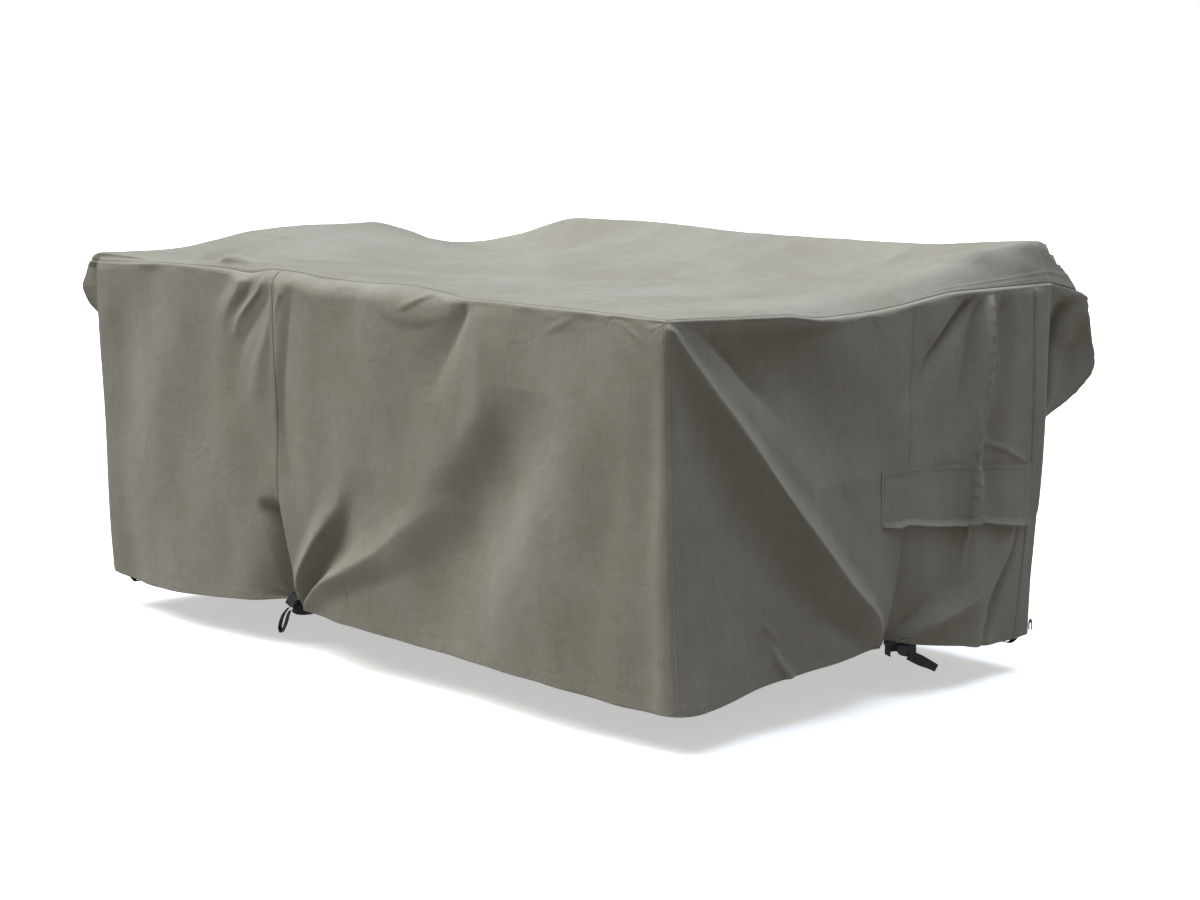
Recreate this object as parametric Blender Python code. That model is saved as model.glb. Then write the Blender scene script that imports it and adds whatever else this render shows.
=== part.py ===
"""Fitted patio furniture cover, as it hangs when it is on.

The cover is a top panel with six wall panels hanging from its seam, a flap over
the air vent, and the webbing ties that gather the hem.  Every panel is cut from
one drape, so that neighbours meet at their seams.

Metres, +Z up.  The origin is where the cover is carried, at the middle of the
underside of its top panel.  The long front wall faces -Y and the near end wall +X.
"""

import math

import bmesh
import bpy
import numpy as np
from mathutils import Matrix, Vector

# ---------------------------------------------------------------------------
# Driving dimensions
# ---------------------------------------------------------------------------

LENGTH = 2.12            # top seam, corner to corner along the front
WIDTH = 1.19             # top seam, corner to corner across an end
DROP = 0.80              # top seam to hem
CLOTH = 0.0016           # coated polyester with its backing
SEAM_GAP = 0.0005        # left between neighbouring panels
CENTRE_SAG = -0.006      # top panel at its centre, from the seam's level
SEAM_LEVEL = -CENTRE_SAG + CLOTH / 2   # puts the origin on the top's underside

WEBBING_WIDTH = 0.025
WEBBING = 0.0014

# Stations round the perimeter, counted from the left front corner along the front.
NEAR_CORNER = LENGTH
FAR_CORNER = LENGTH + WIDTH
BACK_LEFT_CORNER = 2 * LENGTH + WIDTH
PERIMETER = 2 * (LENGTH + WIDTH)
CORNERS = (0.0, NEAR_CORNER, FAR_CORNER, BACK_LEFT_CORNER, PERIMETER)
SIDE_LENGTHS = (LENGTH, WIDTH, LENGTH, WIDTH)

# Ground plan radius of each corner, and how far the ties and the sag shift its hem.
CORNER_PLAN = (
    # station, radius at seam, radius at hem, hem shift x, hem shift y
    (0.0, 0.011, 0.026, 0.006, 0.014),
    (NEAR_CORNER, 0.014, 0.066, 0.024, 0.004),
    (FAR_CORNER, 0.016, 0.022, -0.026, -0.022),
    (BACK_LEFT_CORNER, 0.025, 0.035, 0.010, -0.010),
    (PERIMETER, 0.011, 0.026, 0.006, 0.014),
)
CORNER_REACH = 0.34      # how far along the wall a corner's shift is felt

# The top seam: how far it is drawn in over the top, and how high it rides.
TOP_SEAM = (
    # station, drawn in, rise
    (0.00, 0.006, 0.000),
    (0.43, 0.008, 0.013),
    (0.58, 0.014, 0.011),
    (0.66, 0.020, 0.006),
    (0.74, 0.036, 0.016),
    (0.84, 0.042, 0.014),
    (0.94, 0.042, 0.006),
    (1.10, 0.038, 0.006),
    (1.24, 0.040, 0.009),
    (1.38, 0.034, 0.001),
    (1.48, 0.010, -0.004),
    (1.75, 0.008, -0.004),
    (2.12, 0.004, -0.008),
    (2.34, 0.010, -0.016),
    (2.46, 0.012, -0.020),
    (2.57, 0.014, -0.032),
    (2.70, 0.014, -0.029),
    (2.80, 0.012, -0.022),
    (2.88, 0.010, -0.012),
    (2.99, 0.010, -0.002),
    (3.31, 0.004, 0.000),
    (3.38, 0.008, -0.034),
    (3.50, 0.014, -0.040),
    (3.75, 0.016, -0.030),
    (4.30, 0.018, -0.012),
    (4.90, 0.014, -0.006),
    (5.43, 0.008, -0.010),
    (5.75, 0.014, 0.010),
    (6.10, 0.016, 0.020),
    (6.40, 0.012, 0.012),
    (6.62, 0.006, 0.000),
)

# Hem height above its lowest level: the ties lift it.
HEM_RISE = (
    # station, rise
    (0.000, 0.004),
    (0.060, -0.004),
    (0.170, -0.009),
    (0.640, 0.018),
    (0.765, 0.032),
    (0.810, 0.018),
    (0.980, 0.021),
    (1.390, 0.009),
    (1.760, 0.006),
    (2.060, -0.004),
    (2.180, -0.002),
    (2.320, 0.013),
    (2.470, 0.026),
    (2.710, 0.036),
    (2.798, 0.031),
    (2.822, 0.040),
    (2.894, 0.028),
    (3.017, 0.011),
    (3.090, -0.002),
    (3.220, -0.008),
    (3.310, -0.004),
    (3.700, -0.004),
    (4.370, 0.008),
    (5.000, -0.003),
    (5.430, 0.000),
    (6.020, 0.010),
    (6.620, 0.004),
)

# Lines that part the wall panels: station at the top seam, midway and at the hem.
PANEL_LINES = (
    # name, station at top, midway, at hem
    ("left_front_corner", 0.000, 0.000, 0.000),
    ("front_felled", 0.772, 0.784, 0.765),
    ("front_gathers_end", 1.150, 1.140, 1.050),
    ("near_corner", 2.120, 2.120, 2.120),
    ("end_join", 2.852, 2.838, 2.818),
    ("far_corner", 3.236, 3.262, 3.246),
    ("far_corner_turn", 3.310, 3.310, 3.310),
    ("far_corner_ear", 3.356, 3.350, 3.344),
    ("back_left_corner", 5.430, 5.430, 5.430),
    ("left_front_corner", 6.620, 6.620, 6.620),
)
# Strips of wall between those lines.  The right front panel has finer cells by its
# tie, and the back panel turns the far corner.  Opposite sides have as many cells.
WALL_STRIPS = (
    # node, cells across
    ("front_panel_left", 14),
    ("front_panel_right", 10),
    ("front_panel_right", 17),
    ("end_panel_near", 13),
    ("end_panel_far", 9),
    ("back_panel", 2),
    ("back_panel", 1),
    ("back_panel", 41),
    ("left_end_panel", 25),
)
LONG_CELLS = 41          # cells along the front and the back
END_CELLS = 25           # cells across each end
EVENNESS = 0.6           # 1 spaces a strip's cells evenly, less makes them finer by its lines
# Depths below the top seam where the drape is worked out, as shares of the drop.
WALL_ROWS = (0.0, 0.010, 0.030, 0.065, 0.11, 0.17, 0.25, 0.34, 0.42, 0.49, 0.56,
             0.63, 0.70, 0.76, 0.82, 0.88, 0.94, 1.0)

# Height of the top panel above the seam's level, over what carries it.
TOP_STATIONS_X = (-0.99, -0.72, -0.46, -0.15, 0.20, 0.55, 0.98, 1.045, 1.085)
TOP_HEIGHTS = (
    # y, heights at the x stations
    (-0.535, (0.022, 0.012, 0.034, 0.016, 0.002, -0.004, -0.004, -0.004, -0.004)),
    (-0.400, (0.026, 0.000, 0.016, 0.006, -0.006, -0.014, -0.010, -0.010, -0.010)),
    (-0.150, (0.062, 0.022, 0.002, -0.008, -0.014, -0.018, -0.008, -0.010, -0.014)),
    (0.000, (0.070, 0.036, 0.006, CENTRE_SAG, -0.010, -0.014, 0.000, -0.004, -0.010)),
    (0.220, (0.070, 0.030, 0.006, 0.018, 0.022, 0.006, 0.034, 0.034, 0.030)),
    (0.400, (0.024, -0.002, 0.022, 0.054, 0.054, 0.038, 0.066, 0.066, 0.056)),
    (0.530, (-0.010, 0.036, 0.090, 0.092, 0.084, 0.088, 0.088, 0.088, 0.078)),
    (0.590, (-0.010, 0.040, 0.094, 0.094, 0.086, 0.090, 0.092, 0.090, 0.080)),
    (0.635, (-0.010, 0.040, 0.094, 0.094, 0.086, 0.080, 0.080, 0.076, 0.066)),
)
TOP_EDGE = 0.060         # how far in the top rounds over to its seam
FAR_TOP_CORNER = 0.26    # round which the top drops more steeply to its seam
FAR_TOP_KEEN = 0.62      # how much shorter the drop is at that corner
UNEVENNESS = 0.0016      # height of each broad wave of the walls
UNEVEN_WAVES = (
    # waves round the perimeter, radians for each metre down, phase
    (23, 5.0, 0.0),
    (41, -9.0, 1.3),
    (17, 11.0, 0.0),
)
SETTLE = 0.022           # depth below the seam where folds reach full height

# Folds of the walls.  Each is a soft ridge (positive) or trough (negative) whose
# middle runs down through its rows; before and after are its reach on each side.
FOLDS = {
    # --- front wall -------------------------------------------------------
    "tie_valley": (
        # depth, station, height, before, after
        (0.500, 0.762, 0.000, 0.050, 0.024),
        (0.530, 0.761, -0.004, 0.060, 0.026),
        (0.548, 0.761, -0.020, 0.064, 0.028),
        (0.566, 0.762, -0.034, 0.060, 0.029),
        (0.600, 0.766, -0.041, 0.048, 0.031),
        (0.640, 0.768, -0.040, 0.034, 0.034),
        (0.700, 0.766, -0.032, 0.024, 0.038),
        (0.760, 0.762, -0.016, 0.018, 0.036),
        (0.800, 0.762, -0.006, 0.015, 0.030),
    ),
    "tie_ridge_steep": (
        (0.400, 1.062, 0.000, 0.080, 0.050),
        (0.454, 1.044, 0.003, 0.080, 0.050),
        (0.506, 1.028, 0.008, 0.085, 0.050),
        (0.566, 0.988, 0.016, 0.085, 0.050),
        (0.618, 0.940, 0.019, 0.075, 0.048),
        (0.680, 0.878, 0.016, 0.055, 0.042),
        (0.740, 0.822, 0.009, 0.036, 0.034),
        (0.795, 0.785, 0.002, 0.020, 0.030),
    ),
    "tie_trough_right": (
        (0.420, 1.106, 0.000, 0.070, 0.100),
        (0.470, 1.090, -0.004, 0.065, 0.110),
        (0.520, 1.064, -0.010, 0.060, 0.120),
        (0.592, 1.015, -0.020, 0.056, 0.120),
        (0.637, 0.972, -0.024, 0.050, 0.105),
        (0.700, 0.905, -0.022, 0.042, 0.076),
        (0.752, 0.848, -0.014, 0.034, 0.052),
        (0.795, 0.805, -0.004, 0.024, 0.034),
    ),
    "tie_ridge_slant": (
        (0.440, 1.420, 0.000, 0.110, 0.140),
        (0.500, 1.330, 0.006, 0.120, 0.160),
        (0.560, 1.240, 0.012, 0.120, 0.170),
        (0.611, 1.168, 0.016, 0.110, 0.180),
        (0.666, 1.064, 0.020, 0.080, 0.170),
        (0.714, 0.960, 0.020, 0.056, 0.140),
        (0.765, 0.874, 0.015, 0.042, 0.110),
        (0.800, 0.836, 0.008, 0.030, 0.090),
    ),
    "felled_seam_trough": (
        (0.015, 0.850, 0.000, 0.030, 0.050),
        (0.050, 0.842, -0.010, 0.032, 0.080),
        (0.122, 0.825, -0.015, 0.030, 0.110),
        (0.180, 0.811, -0.015, 0.026, 0.120),
        (0.260, 0.799, -0.014, 0.022, 0.120),
        (0.350, 0.797, -0.011, 0.022, 0.100),
        (0.450, 0.822, -0.007, 0.032, 0.080),
        (0.540, 0.870, 0.000, 0.040, 0.070),
    ),
    "front_ridge_high": (
        (0.010, 1.540, 0.000, 0.050, 0.140),
        (0.040, 1.540, 0.007, 0.055, 0.150),
        (0.100, 1.552, 0.012, 0.070, 0.180),
        (0.214, 1.556, 0.011, 0.090, 0.200),
        (0.300, 1.540, 0.006, 0.100, 0.200),
        (0.400, 1.520, 0.000, 0.110, 0.180),
    ),
    "front_hollow_short": (
        (0.005, 1.494, 0.000, 0.040, 0.020),
        (0.030, 1.486, -0.012, 0.060, 0.028),
        (0.060, 1.466, -0.017, 0.080, 0.036),
        (0.100, 1.434, -0.015, 0.090, 0.056),
        (0.150, 1.400, -0.010, 0.100, 0.080),
        (0.240, 1.360, 0.000, 0.100, 0.100),
    ),
    "front_broad_trough": (
        (0.180, 1.670, 0.000, 0.120, 0.190),
        (0.260, 1.640, -0.012, 0.140, 0.220),
        (0.340, 1.596, -0.023, 0.170, 0.240),
        (0.438, 1.530, -0.030, 0.200, 0.250),
        (0.538, 1.462, -0.031, 0.210, 0.260),
        (0.656, 1.396, -0.024, 0.200, 0.250),
        (0.800, 1.364, -0.012, 0.180, 0.230),
    ),
    "front_belly": (
        (0.050, 1.820, 0.000, 0.160, 0.150),
        (0.250, 1.850, 0.013, 0.190, 0.150),
        (0.550, 1.800, 0.021, 0.220, 0.150),
        (0.800, 1.760, 0.013, 0.230, 0.160),
    ),
    "near_corner_trough": (
        (0.100, 2.070, 0.000, 0.040, 0.030),
        (0.200, 2.070, -0.004, 0.060, 0.034),
        (0.400, 2.060, -0.006, 0.080, 0.050),
        (0.700, 2.050, -0.006, 0.080, 0.060),
        (0.800, 2.050, -0.004, 0.080, 0.060),
    ),
    "shoulder_fan_ridge_outer": (
        (0.000, 0.664, 0.004, 0.070, 0.034),
        (0.038, 0.645, 0.013, 0.070, 0.034),
        (0.086, 0.600, 0.012, 0.065, 0.034),
        (0.125, 0.576, 0.007, 0.060, 0.038),
        (0.190, 0.560, 0.000, 0.060, 0.044),
    ),
    "shoulder_fan_trough_outer": (
        (0.010, 0.704, 0.000, 0.022, 0.022),
        (0.058, 0.668, -0.005, 0.028, 0.026),
        (0.102, 0.622, -0.004, 0.030, 0.030),
        (0.150, 0.598, 0.000, 0.030, 0.034),
    ),
    "shoulder_fan_ridge_inner": (
        (0.010, 0.740, 0.000, 0.030, 0.022),
        (0.045, 0.722, 0.006, 0.040, 0.026),
        (0.086, 0.672, 0.008, 0.042, 0.030),
        (0.122, 0.634, 0.005, 0.042, 0.034),
        (0.170, 0.618, 0.000, 0.040, 0.040),
    ),
    "shoulder_fan_hollow": (
        (0.015, 0.764, 0.000, 0.034, 0.010),
        (0.061, 0.756, -0.007, 0.042, 0.016),
        (0.112, 0.710, -0.011, 0.050, 0.046),
        (0.170, 0.652, -0.011, 0.062, 0.062),
        (0.240, 0.626, -0.008, 0.080, 0.090),
        (0.380, 0.606, 0.000, 0.100, 0.110),
    ),
    "shoulder_fan_ridge_low": (
        (0.100, 0.760, 0.000, 0.024, 0.014),
        (0.157, 0.750, 0.005, 0.036, 0.020),
        (0.220, 0.726, 0.006, 0.046, 0.038),
        (0.330, 0.700, 0.000, 0.060, 0.060),
    ),
    "left_panel_swell": (
        (0.100, 0.300, 0.000, 0.180, 0.200),
        (0.350, 0.300, 0.010, 0.220, 0.240),
        (0.600, 0.340, 0.010, 0.240, 0.260),
        (0.820, 0.360, 0.006, 0.240, 0.260),
    ),
    "left_edge_trough": (
        (0.050, 0.100, 0.000, 0.070, 0.090),
        (0.200, 0.105, -0.006, 0.080, 0.100),
        (0.500, 0.110, -0.006, 0.080, 0.110),
        (0.800, 0.120, -0.004, 0.080, 0.110),
    ),
    # --- near end wall ----------------------------------------------------
    "end_tension_ridge": (
        (0.000, 2.120, 0.000, 0.014, 0.018),
        (0.020, 2.128, 0.008, 0.018, 0.024),
        (0.096, 2.184, 0.018, 0.034, 0.048),
        (0.170, 2.240, 0.025, 0.046, 0.064),
        (0.269, 2.318, 0.029, 0.058, 0.074),
        (0.390, 2.424, 0.031, 0.066, 0.080),
        (0.518, 2.530, 0.031, 0.066, 0.080),
        (0.640, 2.645, 0.027, 0.058, 0.068),
        (0.730, 2.744, 0.017, 0.042, 0.046),
        (0.790, 2.796, 0.006, 0.030, 0.030),
    ),
    "end_tension_swell": (
        (0.050, 2.150, 0.000, 0.070, 0.100),
        (0.170, 2.250, 0.007, 0.090, 0.140),
        (0.390, 2.440, 0.013, 0.120, 0.180),
        (0.600, 2.620, 0.012, 0.120, 0.160),
        (0.760, 2.780, 0.000, 0.080, 0.100),
    ),
    "end_tension_trough": (
        (0.040, 2.118, 0.000, 0.030, 0.030),
        (0.110, 2.140, -0.005, 0.050, 0.036),
        (0.227, 2.200, -0.009, 0.090, 0.060),
        (0.352, 2.282, -0.012, 0.140, 0.080),
        (0.518, 2.420, -0.014, 0.160, 0.084),
        (0.611, 2.520, -0.014, 0.150, 0.076),
        (0.701, 2.634, -0.013, 0.130, 0.060),
        (0.770, 2.740, -0.010, 0.110, 0.044),
        (0.820, 2.785, -0.007, 0.090, 0.036),
    ),
    "end_hollow": (
        (0.000, 2.420, 0.000, 0.280, 0.240),
        (0.016, 2.410, -0.030, 0.270, 0.250),
        (0.040, 2.410, -0.045, 0.250, 0.260),
        (0.110, 2.440, -0.044, 0.230, 0.260),
        (0.210, 2.520, -0.028, 0.190, 0.240),
        (0.380, 2.640, 0.000, 0.150, 0.190),
    ),
    "end_hollow_lobe": (
        (0.012, 2.240, 0.000, 0.050, 0.060),
        (0.040, 2.262, -0.016, 0.052, 0.080),
        (0.090, 2.316, -0.024, 0.048, 0.080),
        (0.150, 2.376, -0.021, 0.046, 0.074),
        (0.200, 2.424, -0.010, 0.046, 0.070),
        (0.260, 2.470, 0.000, 0.050, 0.070),
    ),
    "fan_trough_slant": (
        (0.006, 3.036, 0.000, 0.034, 0.020),
        (0.024, 3.026, -0.019, 0.040, 0.024),
        (0.074, 2.976, -0.028, 0.056, 0.048),
        (0.138, 2.900, -0.019, 0.072, 0.064),
        (0.250, 2.820, 0.000, 0.090, 0.080),
    ),
    "fan_trough": (
        (0.016, 3.062, 0.000, 0.024, 0.020),
        (0.060, 3.050, -0.017, 0.034, 0.024),
        (0.200, 3.014, -0.018, 0.070, 0.040),
        (0.360, 2.960, 0.000, 0.100, 0.060),
    ),
    "fan_ridge": (
        (0.012, 3.094, 0.002, 0.020, 0.020),
        (0.038, 3.090, 0.018, 0.030, 0.024),
        (0.109, 3.080, 0.029, 0.044, 0.028),
        (0.195, 3.068, 0.033, 0.054, 0.028),
        (0.285, 3.052, 0.032, 0.060, 0.026),
        (0.360, 3.038, 0.030, 0.064, 0.024),
        (0.460, 3.024, 0.026, 0.066, 0.022),
        (0.530, 3.018, 0.018, 0.060, 0.024),
        (0.640, 3.006, 0.000, 0.050, 0.034),
    ),
    "fan_trough_right": (
        (0.014, 3.138, 0.000, 0.026, 0.040),
        (0.054, 3.136, -0.014, 0.036, 0.050),
        (0.163, 3.132, -0.016, 0.040, 0.060),
        (0.300, 3.110, -0.014, 0.044, 0.070),
        (0.440, 3.090, -0.009, 0.044, 0.070),
        (0.560, 3.080, 0.000, 0.040, 0.060),
    ),
    "end_tie_ridge_right": (
        (0.520, 3.210, 0.000, 0.060, 0.050),
        (0.600, 3.170, 0.012, 0.080, 0.050),
        (0.690, 3.070, 0.014, 0.100, 0.056),
        (0.750, 2.940, 0.011, 0.080, 0.060),
        (0.795, 2.865, 0.000, 0.050, 0.060),
    ),
    "end_tie_trough_right": (
        (0.560, 2.960, 0.000, 0.100, 0.100),
        (0.660, 2.940, -0.012, 0.100, 0.100),
        (0.730, 2.880, -0.016, 0.060, 0.070),
        (0.795, 2.835, -0.010, 0.040, 0.050),
    ),
    "hem_corner_trough": (
        (0.500, 3.230, 0.000, 0.030, 0.016),
        (0.600, 3.206, -0.009, 0.040, 0.018),
        (0.700, 3.154, -0.014, 0.045, 0.022),
        (0.790, 3.112, -0.010, 0.040, 0.026),
    ),
    "corner_strip_step": (
        (0.514, 3.298, 0.000, 0.034, 0.030),
        (0.526, 3.298, -0.005, 0.036, 0.032),
        (0.600, 3.294, -0.004, 0.036, 0.034),
        (0.700, 3.290, 0.000, 0.036, 0.034),
    ),
    # --- back wall and left end -------------------------------------------
    "back_swell_left": (
        (0.02, 5.000, 0.000, 0.220, 0.220),
        (0.18, 5.000, 0.029, 0.240, 0.220),
        (0.60, 4.980, 0.016, 0.240, 0.220),
        (0.82, 4.960, 0.008, 0.240, 0.220),
    ),
    "back_trough": (
        (0.06, 4.450, 0.000, 0.160, 0.200),
        (0.30, 4.460, -0.023, 0.160, 0.200),
        (0.60, 4.420, -0.034, 0.170, 0.190),
        (0.82, 4.380, -0.023, 0.160, 0.180),
    ),
    "back_ridge_slant": (
        (0.06, 3.900, 0.000, 0.100, 0.120),
        (0.25, 4.000, 0.021, 0.120, 0.140),
        (0.50, 4.160, 0.029, 0.120, 0.120),
        (0.76, 4.300, 0.010, 0.100, 0.100),
    ),
    "left_end_ridge": (
        (0.04, 6.080, 0.000, 0.180, 0.180),
        (0.22, 6.060, 0.029, 0.200, 0.200),
        (0.55, 6.040, 0.018, 0.180, 0.200),
        (0.82, 6.020, 0.005, 0.160, 0.180),
    ),
    "left_end_trough": (
        (0.10, 5.700, 0.000, 0.120, 0.130),
        (0.34, 5.720, -0.023, 0.130, 0.140),
        (0.64, 5.740, -0.026, 0.130, 0.140),
        (0.84, 5.740, -0.013, 0.130, 0.140),
    ),
}

# How keen a fold is: 0 is a round swell, 1 comes to a line, 2 is a tent with keen feet.
KEENNESS = {
    "tie_valley": 2.0,
    "tie_ridge_steep": 0.4,
    "tie_trough_right": 0.2,
    "tie_ridge_slant": 0.6,
    "felled_seam_trough": 0.5,
    "front_ridge_high": 0.3,
    "front_hollow_short": 0.8,
    "shoulder_fan_ridge_outer": 0.4,
    "shoulder_fan_trough_outer": 0.8,
    "shoulder_fan_ridge_inner": 0.8,
    "shoulder_fan_hollow": 0.6,
    "end_tension_ridge": 0.9,
    "end_tension_trough": 0.0,
    "end_hollow_lobe": 0.5,
    "fan_trough_slant": 1.2,
    "fan_trough": 0.7,
    "fan_ridge": 1.0,
    "end_tie_ridge_right": 0.7,
    "end_tie_trough_right": 0.6,
    "hem_corner_trough": 0.8,
    "corner_strip_step": 0.3,
}

# Corners of spare cloth that stand out past the walls like ears.
EARS = (
    # name, how keen, rows of depth, station, push x, push y, before, after
    ("back_right", 0.0, (
        (0.000, 3.356, 0.048, 0.092, 0.046, 0.200),
        (0.014, 3.360, 0.060, 0.118, 0.048, 0.210),
        (0.050, 3.368, 0.066, 0.130, 0.050, 0.220),
        (0.110, 3.374, 0.074, 0.148, 0.052, 0.240),
        (0.150, 3.378, 0.079, 0.158, 0.054, 0.260),
        (0.180, 3.378, 0.078, 0.156, 0.054, 0.250),
        (0.215, 3.376, 0.067, 0.134, 0.054, 0.240),
        (0.250, 3.372, 0.048, 0.098, 0.054, 0.220),
        (0.285, 3.368, 0.024, 0.050, 0.054, 0.200),
        (0.330, 3.366, 0.000, 0.000, 0.054, 0.160),
    )),
    ("left_front", 0.6, (
        (0.000, 6.580, -0.052, -0.028, 0.120, 0.035),
        (0.012, 6.580, -0.062, -0.033, 0.130, 0.036),
        (0.040, 6.580, -0.074, -0.040, 0.150, 0.036),
        (0.070, 6.580, -0.084, -0.046, 0.150, 0.036),
        (0.110, 6.580, -0.066, -0.036, 0.140, 0.036),
        (0.145, 6.580, -0.030, -0.016, 0.130, 0.036),
        (0.210, 6.580, 0.000, 0.000, 0.120, 0.036),
    )),
)

# Where a tie draws the hem in.
TIE_PULLS = (
    # name, station, drawn in, reach before, reach after, reach up
    ("front_tie", 0.765, 0.066, 0.200, 0.300, 0.340),
    ("end_tie", 2.818, 0.060, 0.260, 0.220, 0.300),
)

FLAP = (
    # station, depth of the sewn edge, depth of the free edge
    (2.748, 0.372, 0.494),
    (2.860, 0.380, 0.508),
    (2.960, 0.384, 0.524),
    (3.028, 0.386, 0.520),
    (3.140, 0.392, 0.532),
    (3.215, 0.398, 0.542),
    (3.270, 0.398, 0.538),
)
FLAP_CLEARANCE = 0.004   # under the sewn edge
FLAP_STAND = 0.014       # under the free edge
FLAP_COLUMNS = 24
FLAP_ROWS = 4

# Webbing runs.  Points are along, out and up from the gathered hem.
FRONT_GATHER_STRAP = (
    # along, out, up, width
    (-0.002, 0.030, -0.022, 0.012),
    (0.005, 0.020, -0.026, 0.020),
    (0.016, 0.004, -0.027, 0.024),
    (0.024, -0.018, -0.027, WEBBING_WIDTH),
    (0.024, -0.044, -0.027, WEBBING_WIDTH),
    (0.010, -0.070, -0.027, WEBBING_WIDTH),
    (-0.014, -0.076, -0.027, WEBBING_WIDTH),
    (-0.034, -0.058, -0.027, WEBBING_WIDTH),
    (-0.036, -0.030, -0.027, WEBBING_WIDTH),
    (-0.026, -0.006, -0.027, WEBBING_WIDTH),
)
FRONT_STRAP_LOOP = (
    # along, out, up, width
    (-0.014, 0.031, -0.020, 0.010),
    (-0.030, 0.028, -0.038, 0.014),
    (-0.042, 0.024, -0.062, 0.015),
    (-0.045, 0.022, -0.074, 0.015),
    (-0.041, 0.021, -0.083, 0.015),
    (-0.035, 0.021, -0.074, 0.015),
    (-0.027, 0.022, -0.058, 0.015),
    (-0.019, 0.025, -0.040, 0.014),
    (-0.010, 0.030, -0.026, 0.010),
)
END_GATHER_STRAP = (
    # along, out, up, width
    (0.038, 0.011, -0.014, 0.014),
    (0.052, 0.006, -0.022, 0.022),
    (0.076, -0.004, -0.026, WEBBING_WIDTH),
    (0.096, -0.022, -0.027, WEBBING_WIDTH),
    (0.096, -0.048, -0.027, WEBBING_WIDTH),
    (0.076, -0.066, -0.027, WEBBING_WIDTH),
    (0.050, -0.064, -0.027, WEBBING_WIDTH),
    (0.034, -0.044, -0.027, WEBBING_WIDTH),
    (0.034, -0.018, -0.027, WEBBING_WIDTH),
)
END_STRAP_TAIL = (
    # along, out, up, width
    (0.066, 0.006, -0.032, 0.022),
    (0.094, 0.006, -0.046, 0.024),
    (0.114, 0.008, -0.056, 0.020),
    (0.132, 0.010, -0.066, 0.017),
)
FRONT_TIE_YAW = math.radians(20.0)
STRAP_LOOP_YAW = math.radians(48.0)
END_TIE_YAW = math.radians(66.0)
BUCKLE_SIZE = (0.021, 0.010, 0.034)
BUCKLE_BEVEL = 0.003
BUCKLE_TILT = math.radians(36.0)
BUCKLE_PLACE = (-0.002, 0.039, 0.006)     # along, out, up
KNOT_SIZE = (0.034, 0.012, 0.013)
KNOT_BEVEL = 0.004
KNOT_PLACE = (0.017, 0.015, 0.000)       # along, out, up

# Webbing that shows under two corners, as stations of the hem.
CORNER_STRAPS = (
    # name, first station, last station
    ("corner_strap_right", 3.215, 3.275),
    ("corner_strap_left", 0.075, 0.120),
)
CORNER_STRAP_CELLS = 8
CORNER_STRAP_DIP = 0.009                 # how low it hangs between its stitches
CORNER_STRAP_INSET = 0.0026              # of its outer edge, inside the wall
CORNER_STRAP_WIDTH = 0.012               # of the webbing, folded in half
STRAP_CELLS = 20                         # along each gathering strap
LOOP_CELLS = 18
TAIL_CELLS = 8

CLIP_COLUMNS = (-0.0046, -0.0016, 0.0016, 0.0046)
CLIP_ROWS = (-0.013, 0.004, 0.013)       # tips of the prongs, where they part, the top
CLIP_TOP = 0.55                          # width of the top, as a share
CLIP_KEEN = math.radians(20.0)           # edges that turn more than this are rounded
CLIP_THICKNESS = 0.0045
CLIP_BEVEL = 0.0012
CLIP_STATION = FAR_CORNER - 0.006
CLIP_SHARE = 0.972
CLIP_STAND = 0.0066
CLIP_TURN = math.radians(45.0)

GREY_CLOTH = (0.235, 0.225, 0.185)
BLACK = (0.012, 0.012, 0.013)
DARK_GREY = (0.045, 0.048, 0.055)


# ---------------------------------------------------------------------------
# Curves and profiles
# ---------------------------------------------------------------------------

def smooth_step(value):
    """Ease from 0 to 1 with level ends."""
    value = np.clip(value, 0.0, 1.0)
    return value * value * (3.0 - 2.0 * value)


def curve(stations, values, where):
    """Read a smooth curve through the table's points, without overshoot."""
    x = np.asarray(stations, float)
    y = np.asarray(values, float)
    step = np.diff(x)
    rise = np.diff(y) / step
    slope = np.zeros_like(y)
    slope[0], slope[-1] = rise[0], rise[-1]
    same_way = rise[:-1] * rise[1:] > 0
    mean = 2 * rise[:-1] * rise[1:] / np.where(same_way, rise[:-1] + rise[1:], 1.0)
    slope[1:-1] = np.where(same_way, mean, 0.0)
    where = np.clip(where, x[0], x[-1])
    i = np.clip(np.searchsorted(x, where, side="right") - 1, 0, len(step) - 1)
    t = (where - x[i]) / step[i]
    return (y[i] * (1 + 2 * t) * (1 - t) ** 2 + slope[i] * step[i] * t * (1 - t) ** 2
            + y[i + 1] * t * t * (3 - 2 * t) + slope[i + 1] * step[i] * t * t * (t - 1))


def column(table, index):
    """Return one named column of a table of rows."""
    return [row[index] for row in table]


def fold_profile(offset, before, after, keen=0.0):
    """Shape a fold across its run: 1 on its middle line, 0 past its reach."""
    share = np.abs(offset) / np.where(offset < 0, before, after)
    share = np.clip(share, 0.0, 1.0)
    line = (1 - share) ** 2
    swell = line * (1 + 2 * share * (1 - min(keen, 1.0)))
    return swell + (1 - share - line) * max(keen - 1.0, 0.0)


def nearest_turn(offset):
    """Bring a distance along the closed perimeter to its shorter way round."""
    return (offset + PERIMETER / 2) % PERIMETER - PERIMETER / 2


# ---------------------------------------------------------------------------
# The drape: one surface for the whole cover
# ---------------------------------------------------------------------------

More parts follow.
